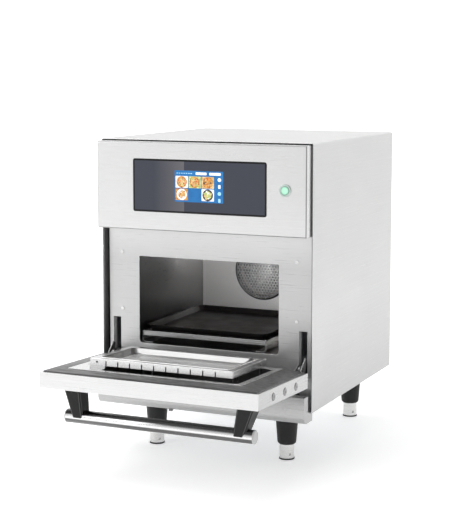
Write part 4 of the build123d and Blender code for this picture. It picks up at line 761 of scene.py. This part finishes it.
def makeScreen():
    # thin flat shapes in layers: plain pictures of plates, bars and signs without letters
    blue, cream, brown, red, leaf, white, pale, dark = range(8)
    look = {"front": -0.15402, "left": -0.0528, "right": 0.0545, "low": 0.5338, "high": 0.5970,
            "corner": 0.0012, "step": 0.00003, "layer": 0.00002,
            "paints": (
                ("screenBlue", (0.010, 0.13, 0.36), (0.015, 0.17, 0.44), 30.0, 0.36),
                ("tileCream", (0.60, 0.36, 0.14), (0.86, 0.68, 0.40), 160.0, 0.28),
                ("tileBrown", (0.32, 0.10, 0.03), (0.80, 0.42, 0.10), 260.0, 0.30),
                ("tileRed", (0.55, 0.06, 0.02), (0.85, 0.30, 0.06), 300.0, 0.30),
                ("tileLeaf", (0.30, 0.42, 0.10), (0.72, 0.70, 0.30), 280.0, 0.30),
                ("screenWhite", (0.86, 0.90, 0.94), (0.95, 0.97, 1.0), 30.0, 0.42),
                ("screenPale", (0.30, 0.62, 0.86), (0.42, 0.72, 0.92), 30.0, 0.42),
                ("tileDark", (0.02, 0.02, 0.03), (0.07, 0.06, 0.06), 200.0, 0.25)),
            "bars": ((-0.006, 0.018), (0.024, 0.049)), "barDrop": (0.0080, 0.0028),
            "marks": 7, "markStart": 0.004, "markPitch": 0.0052, "markWide": 0.0036,
            "markDrop": (0.0062, 0.0048), "tile": (0.0272, 0.0235), "gap": 0.0016,
            "tileStart": (0.0022, 0.0112), "dots": 14, "dotSize": (0.0013, 0.0004),
            "tiles": (  # column, row, ground, plate, plate size, filling, dots
                (0, 0, white, brown, 0.0117, cream, (brown, red, leaf, brown)),
                (1, 0, leaf, brown, 0.0112, cream, (brown, red, brown, leaf)),
                (2, 0, cream, brown, 0.0114, brown, (cream, red, brown, dark)),
                (0, 1, brown, white, 0.0112, brown, (cream, brown, cream, white)),
                (2, 1, white, dark, 0.0117, leaf, (cream, leaf, white, cream))),
            "signs": 4, "signDrop": 0.0165, "signPitch": 0.0138, "signX": (0.0405, 0.0515),
            "signHalf": 0.0055, "iconX": (0.0434, 0.046, 0.0486), "iconHalf": 0.0038}
    work = bmesh.new()
    left, right, low, high = look["left"], look["right"], look["low"], look["high"]

    def shape(points, layer, paint):
        y = look["front"] - layer * look["step"]
        work.faces.new([work.verts.new((x, y, z)) for x, z in points]).material_index = paint

    shape(roundedPoints(left, right, low, high, look["corner"]), 0, blue)
    for x0, x1 in look["bars"]:
        drop = look["barDrop"]
        shape(roundedPoints(x0, x1, high - drop[0], high - drop[1], 0.001), 1, white)
    for i in range(look["marks"]):
        x, drop = left + look["markStart"] + i * look["markPitch"], look["markDrop"]
        mark = roundedPoints(x, x + look["markWide"], high - drop[0], high - drop[1], 0.0005, 2)
        shape(mark, 1, pale)
    wide, tall = look["tile"]
    for column, row, ground, plate, size, filling, dots in look["tiles"]:
        x0 = left + look["tileStart"][0] + column * (wide + look["gap"])
        z1 = high - look["tileStart"][1] - row * (tall + look["gap"])
        shape(roundedPoints(x0, x0 + wide, z1 - tall, z1, 0.001), 1, ground)
        cx, cz = x0 + wide / 2, z1 - tall / 2
        shape(discPoints(cx, cz, size), 2, plate)
        shape(discPoints(cx, cz, size * 0.70), 3, filling)
        for i in range(look["dots"]):
            turn = i * 2.4 + column + row
            reach = size * 0.78 * math.sqrt((i + 0.5) / look["dots"])
            radius = look["dotSize"][0] + look["dotSize"][1] * (i % 3)
            dot = discPoints(cx + reach * math.cos(turn), cz + reach * math.sin(turn), radius, 10)
            shape(dot, 4, dots[i % 4])
    for i in range(look["signs"]):
        cz = high - look["signDrop"] - i * look["signPitch"]
        half, icon = look["signHalf"], look["iconHalf"]
        shape(roundedPoints(*look["signX"], cz - half, cz + half, look["corner"]), 1, blue)
        x0, cx, x1 = look["iconX"]
        if i % 2 == 0:
            shape(discPoints(cx, cz, icon), 2, pale if i else white)
        else:
            square = roundedPoints(x0, x1, cz - icon, cz + icon, 0.001)
            shape(square, 2, white if i == 1 else pale)
    for face in work.faces:
        face.normal_update()
        if face.normal.y > 0:
            face.normal_flip()
    mesh = bpy.data.meshes.new("screenPicture")
    work.to_mesh(mesh)
    work.free()
    for paint in look["paints"]:
        mesh.materials.append(litMaterial(*paint))
    thicken(pieceFrom("screenPicture", mesh, "oven"), look["layer"], -1.0)


def frontOf(node, x, z):
    # where a line from the front first meets a CAD node
    found, spot, _, _ = nodes[node].ray_cast(Vector((x, -1.0, z)), Vector((0.0, 1.0, 0.0)))
    return spot.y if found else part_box(node)[0][1]


def makeCoverMark():
    # a small raised ring on the lower cover
    look = {"middle": (0.188, 0.1345), "size": (0.0072, 0.0115), "proud": 0.0006, "sunk": 0.0002,
            "inner": (0.66, 0.78), "steps": 6}
    cx, cz = look["middle"]
    wide, tall = look["size"]
    y = frontOf("lower_cover", cx, cz)
    depths = (y + look["sunk"], y - look["proud"])
    work = bmesh.new()
    points = roundedPoints(cx - wide / 2, cx + wide / 2, cz - tall / 2, cz + tall / 2,
                           wide * 0.499, look["steps"])
    shrunk = [(cx + (x - cx) * look["inner"][0], cz + (z - cz) * look["inner"][1])
              for x, z in points]
    outer, hole = ([[work.verts.new((x, depth, z)) for depth in depths] for x, z in outline]
                   for outline in (points, shrunk))
    for i in range(len(points)):
        j = (i + 1) % len(points)
        for quad in ((outer[i][0], outer[j][0], outer[j][1], outer[i][1]),
                     (hole[j][0], hole[i][0], hole[i][1], hole[j][1]),
                     (outer[i][1], outer[j][1], hole[j][1], hole[i][1]),
                     (hole[i][0], hole[j][0], outer[j][0], outer[i][0])):
            work.faces.new(quad)
    softPiece("coverMark", work, "coverSteel", "front_cover", 0.00018)


def makeGapShadeStrips():
    # dark strips filling the gaps, front plate to side walls and control panel to side walls:
    # painted shade of these gaps, shaped as soft gaskets
    look = {"bulge": 0.0010, "steps": 8, "strips": (  # name, X, Y from back to front, Z
        ("sideGasketShade", (0.2270, 0.2304), (-0.0945, -0.1010), (0.1245, 0.4720)),
        ("panelGasketShade", (0.23115, 0.23355), (-0.1180, -0.1255), (0.4740, 0.6510)))}
    for base, (near, far), (back, front), heights in look["strips"]:
        middle, half = (near + far) / 2, (far - near) / 2
        outline = [(middle - half, back), (middle - half, front)]
        for step in range(1, look["steps"]):
            turn = math.pi * (1 - step / look["steps"])
            outline.append((middle + half * math.cos(turn), front - look["bulge"] * math.sin(turn)))
        outline += [(middle + half, front), (middle + half, back)]
        for side, end in ((-1, "Left"), (1, "Right")):
            work = bmesh.new()
            drawnOut(work, outline, heights, lambda x, y, z: (side * x, y, z))
            softPiece(base + end, work, "hingeSteel", "oven", 0.0003)


def makeTopStrip():
    # soft strip between the panel's top and the cover's front edge
    look = {"half": 0.2296, "back": -0.1123, "front": -0.1215, "low": 0.65262, "high": 0.65482,
            "bulge": 0.0006, "steps": 6}
    middle, rise = (look["low"] + look["high"]) / 2, (look["high"] - look["low"]) / 2
    outline = [(look["back"], look["low"])]
    for step in range(look["steps"] + 1):
        turn = math.pi * (step / look["steps"] - 0.5)
        outline.append((look["front"] - look["bulge"] * math.cos(turn),
                        middle + rise * math.sin(turn)))
    outline.append((look["back"], look["high"]))
    work = bmesh.new()
    drawnOut(work, outline, (-look["half"], look["half"]), lambda y, z, x: (x, y, z))
    softPiece("panelGasketShadeTop", work, "footRubber", "oven", 0.0002)


def makeSeams():
    # weld beads in the chamber's upright rear corners, a row of overlapping scales
    look = {"half": 0.1600, "back": 0.2034, "low": 0.2295, "high": 0.4150, "radius": 0.0016,
            "waist": 0.78, "scales": 46, "arc": 4, "sunk": 0.0001}
    steps = look["scales"] * 2
    turns = [math.radians(90 * i / look["arc"]) for i in range(look["arc"] + 1)]
    half, back = look["half"], look["back"]
    for side, name in ((-1, "seamLeft"), (1, "seamRight")):
        work = bmesh.new()
        rings = []
        for step in range(steps + 1):
            z = look["low"] + (look["high"] - look["low"]) * step / steps
            r = look["radius"] * (1.0 if step % 2 else look["waist"])
            spots = [(half - r * math.cos(turn), back - r * math.sin(turn)) for turn in turns]
            spots.append((half + look["sunk"], back + look["sunk"]))
            rings.append([work.verts.new((side * x, y, z)) for x, y in spots])
        for low, high in zip(rings, rings[1:]):
            bridge(work, low, high)
        work.faces.new(rings[0])
        work.faces.new(rings[-1])
        pieceFrom(name, meshFrom(name, work, [finishes["hingeSteel"]]), "oven")


def makeSlotCollars():
    # folded sheet behind each hinge slot, open at its lower end
    look = {"middle": 0.2095, "half": 0.0090, "sheet": 0.0009, "front": -0.1102, "back": -0.0975,
            "low": 0.1750, "high": 0.2822}
    half, sheet, low, high = look["half"], look["sheet"], look["low"], look["high"]
    for side, name in ((-1, "slotCollarLeft"), (1, "slotCollarRight")):
        mid = side * look["middle"]
        inner = [(mid - half, low), (mid - half, high), (mid + half, high), (mid + half, low)]
        outer = [(mid + half + sheet, low), (mid + half + sheet, high + sheet),
                 (mid - half - sheet, high + sheet), (mid - half - sheet, low)]
        work = bmesh.new()
        rows = drawnOut(work, inner + outer, (look["front"], look["back"]),
                        lambda x, z, y: (x, y, z), closed=False)
        for row in rows:  # each end is three strips, from the inner fold to the outer
            for i in range(3):
                work.faces.new((row[i], row[i + 1], row[6 - i], row[7 - i]))
        softPiece(name, work, "collarSteel", "oven", 0.0002)


def doorPlace(x, reach, rise):
    # the open door's own axes: reach from the pivot line, rise above the seal side
    tilt = math.radians(doorAxes["tilt"])
    y, z = doorAxes["pivot"]
    return Vector((x, y - reach * math.cos(tilt) + rise * math.sin(tilt),
                   z + reach * math.sin(tilt) + rise * math.cos(tilt)))


def makeDish():
    # the shallow formed pan of the choke cover, from its rim to its floor
    look = {"half": (0.1400, 0.06975), "middle": 0.11875, "top": 0.0255, "sheet": 0.0010,
            "corner": 9, "wallRings": (3, 8),
            "rings": (  # inset, rise, corner radius
                (0.0, -0.0012, 0.004), (0.0, -0.0004, 0.004), (0.0004, 0.0, 0.004),
                (0.0034, 0.0, 0.009), (0.0046, -0.0003, 0.012), (0.0056, -0.0012, 0.014),
                (0.0110, -0.0078, 0.016), (0.0124, -0.0093, 0.017), (0.0142, -0.0106, 0.018),
                (0.0166, -0.0115, 0.019), (0.0200, -0.0119, 0.020), (0.0260, -0.0120, 0.020),
                (0.0440, -0.0119, 0.016), (0.0600, -0.0118, 0.008))}
    work = bmesh.new()
    rings = []
    for inset, rise, radius in look["rings"]:
        wide, deep = look["half"][0] - inset, look["half"][1] - inset
        radius = min(radius, deep * 0.98)
        outline = roundedPoints(-wide, wide, -deep, deep, radius, look["corner"])
        rings.append([work.verts.new(doorPlace(x, look["middle"] + reach, look["top"] + rise))
                      for x, reach in outline])
    # the wall rings take the darker wall steel, painted shade
    for number, (outer, inner) in enumerate(zip(rings, rings[1:])):
        isWall = look["wallRings"][0] <= number < look["wallRings"][1]
        bridge(work, outer, inner, 1 if isWall else 0)
    work.faces.new(rings[-1])
    mesh = meshFrom("chokeDish", work, [finishes["panSteel"], finishes["panWall"]])
    thing = pieceFrom("chokeDish", mesh, "door", ["choke_pan"])
    thicken(thing, look["sheet"], 1.0)
    weighNormals(thing)


def latheInto(work, profile, place, sides, darkRings):
    # turns (radius, depth, corners) round an axis, from a closed disc to a point
    rings = []
    for radius, depth, corners in profile:
        ring = []
        for i in range(sides if radius else 1):
            turn, reach = math.tau * i / sides, radius
            if corners:  # flat sides, such as those of a socket
                half = math.pi / corners
                reach = radius * math.cos(half) / math.cos(turn % (2 * half) - half)
            spot = place(reach * math.cos(turn), reach * math.sin(turn), depth)
            ring.append(work.verts.new(spot))
        rings.append(ring)
    work.faces.new(rings[0]).material_index = 1
    for number, (first, second) in enumerate(zip(rings, rings[1:])):
        index = 1 if number < darkRings else 0
        if len(second) > 1:
            bridge(work, first, second, index)
            continue
        for i in range(sides):
            spots = (first[i], first[(i + 1) % sides], second[0])
            work.faces.new(spots).material_index = index


def makeDoorScrews():
    # three screws with six-sided sockets in each narrow end of the door
    look = {"face": 0.2310, "reach": (0.075, 0.132, 0.189), "rise": -0.0164, "sides": 36,
            "darkRings": 3, "profile": (  # radius, depth, corners
                (0.0083, 0.0030, 0), (0.0083, 0.0026, 0), (0.0075, 0.0024, 0),
                (0.0075, -0.0003, 0), (0.0072, -0.0008, 0), (0.0062, -0.0010, 0),
                (0.0036, -0.0011, 0), (0.0027, -0.0011, 6), (0.0025, 0.0004, 6),
                (0.0, 0.0006, 0))}
    for side, end in ((-1, "Left"), (1, "Right")):
        for number, reach in enumerate(look["reach"]):
            name = "doorScrew%s%d" % (end, number + 1)
            work = bmesh.new()

            def place(a, b, depth):
                return doorPlace(side * (look["face"] - depth), reach + a, look["rise"] + b)

            # the first rings round the head take the black rubber finish: painted shade in the
            # recess
            latheInto(work, look["profile"], place, look["sides"], look["darkRings"])
            mesh = meshFrom(name, work, [finishes["screwHead"], finishes["footRubber"]])
            weighNormals(pieceFrom(name, mesh, "door", ["side_screws"]))


def makeClip():
    # small folded catch under the lower cover
    look = {"x": (-0.0710, -0.0620), "y": (-0.1500, -0.1400), "z": (0.1000, 0.1040),
            "lip": 0.0022, "sheet": 0.0012}
    (y0, y1), (z0, z1) = look["y"], look["z"]
    lip, under = y0 + look["lip"], z1 - look["sheet"]
    outline = [(y0, z1), (y0, z0), (lip, z0), (lip, under), (y1, under), (y1, z1)]
    work = bmesh.new()
    drawnOut(work, outline, look["x"], lambda y, z, x: (x, y, z))
    softPiece("coverClip", work, "hingeSteel", "front_cover", 0.0003)


makeFloor()
makeGrille()
makeScreen()
makeCoverMark()
makeGapShadeStrips()
makeTopStrip()
makeSeams()
makeClip()
makeSlotCollars()
makeDish()
makeDoorScrews()
print("pieces made")
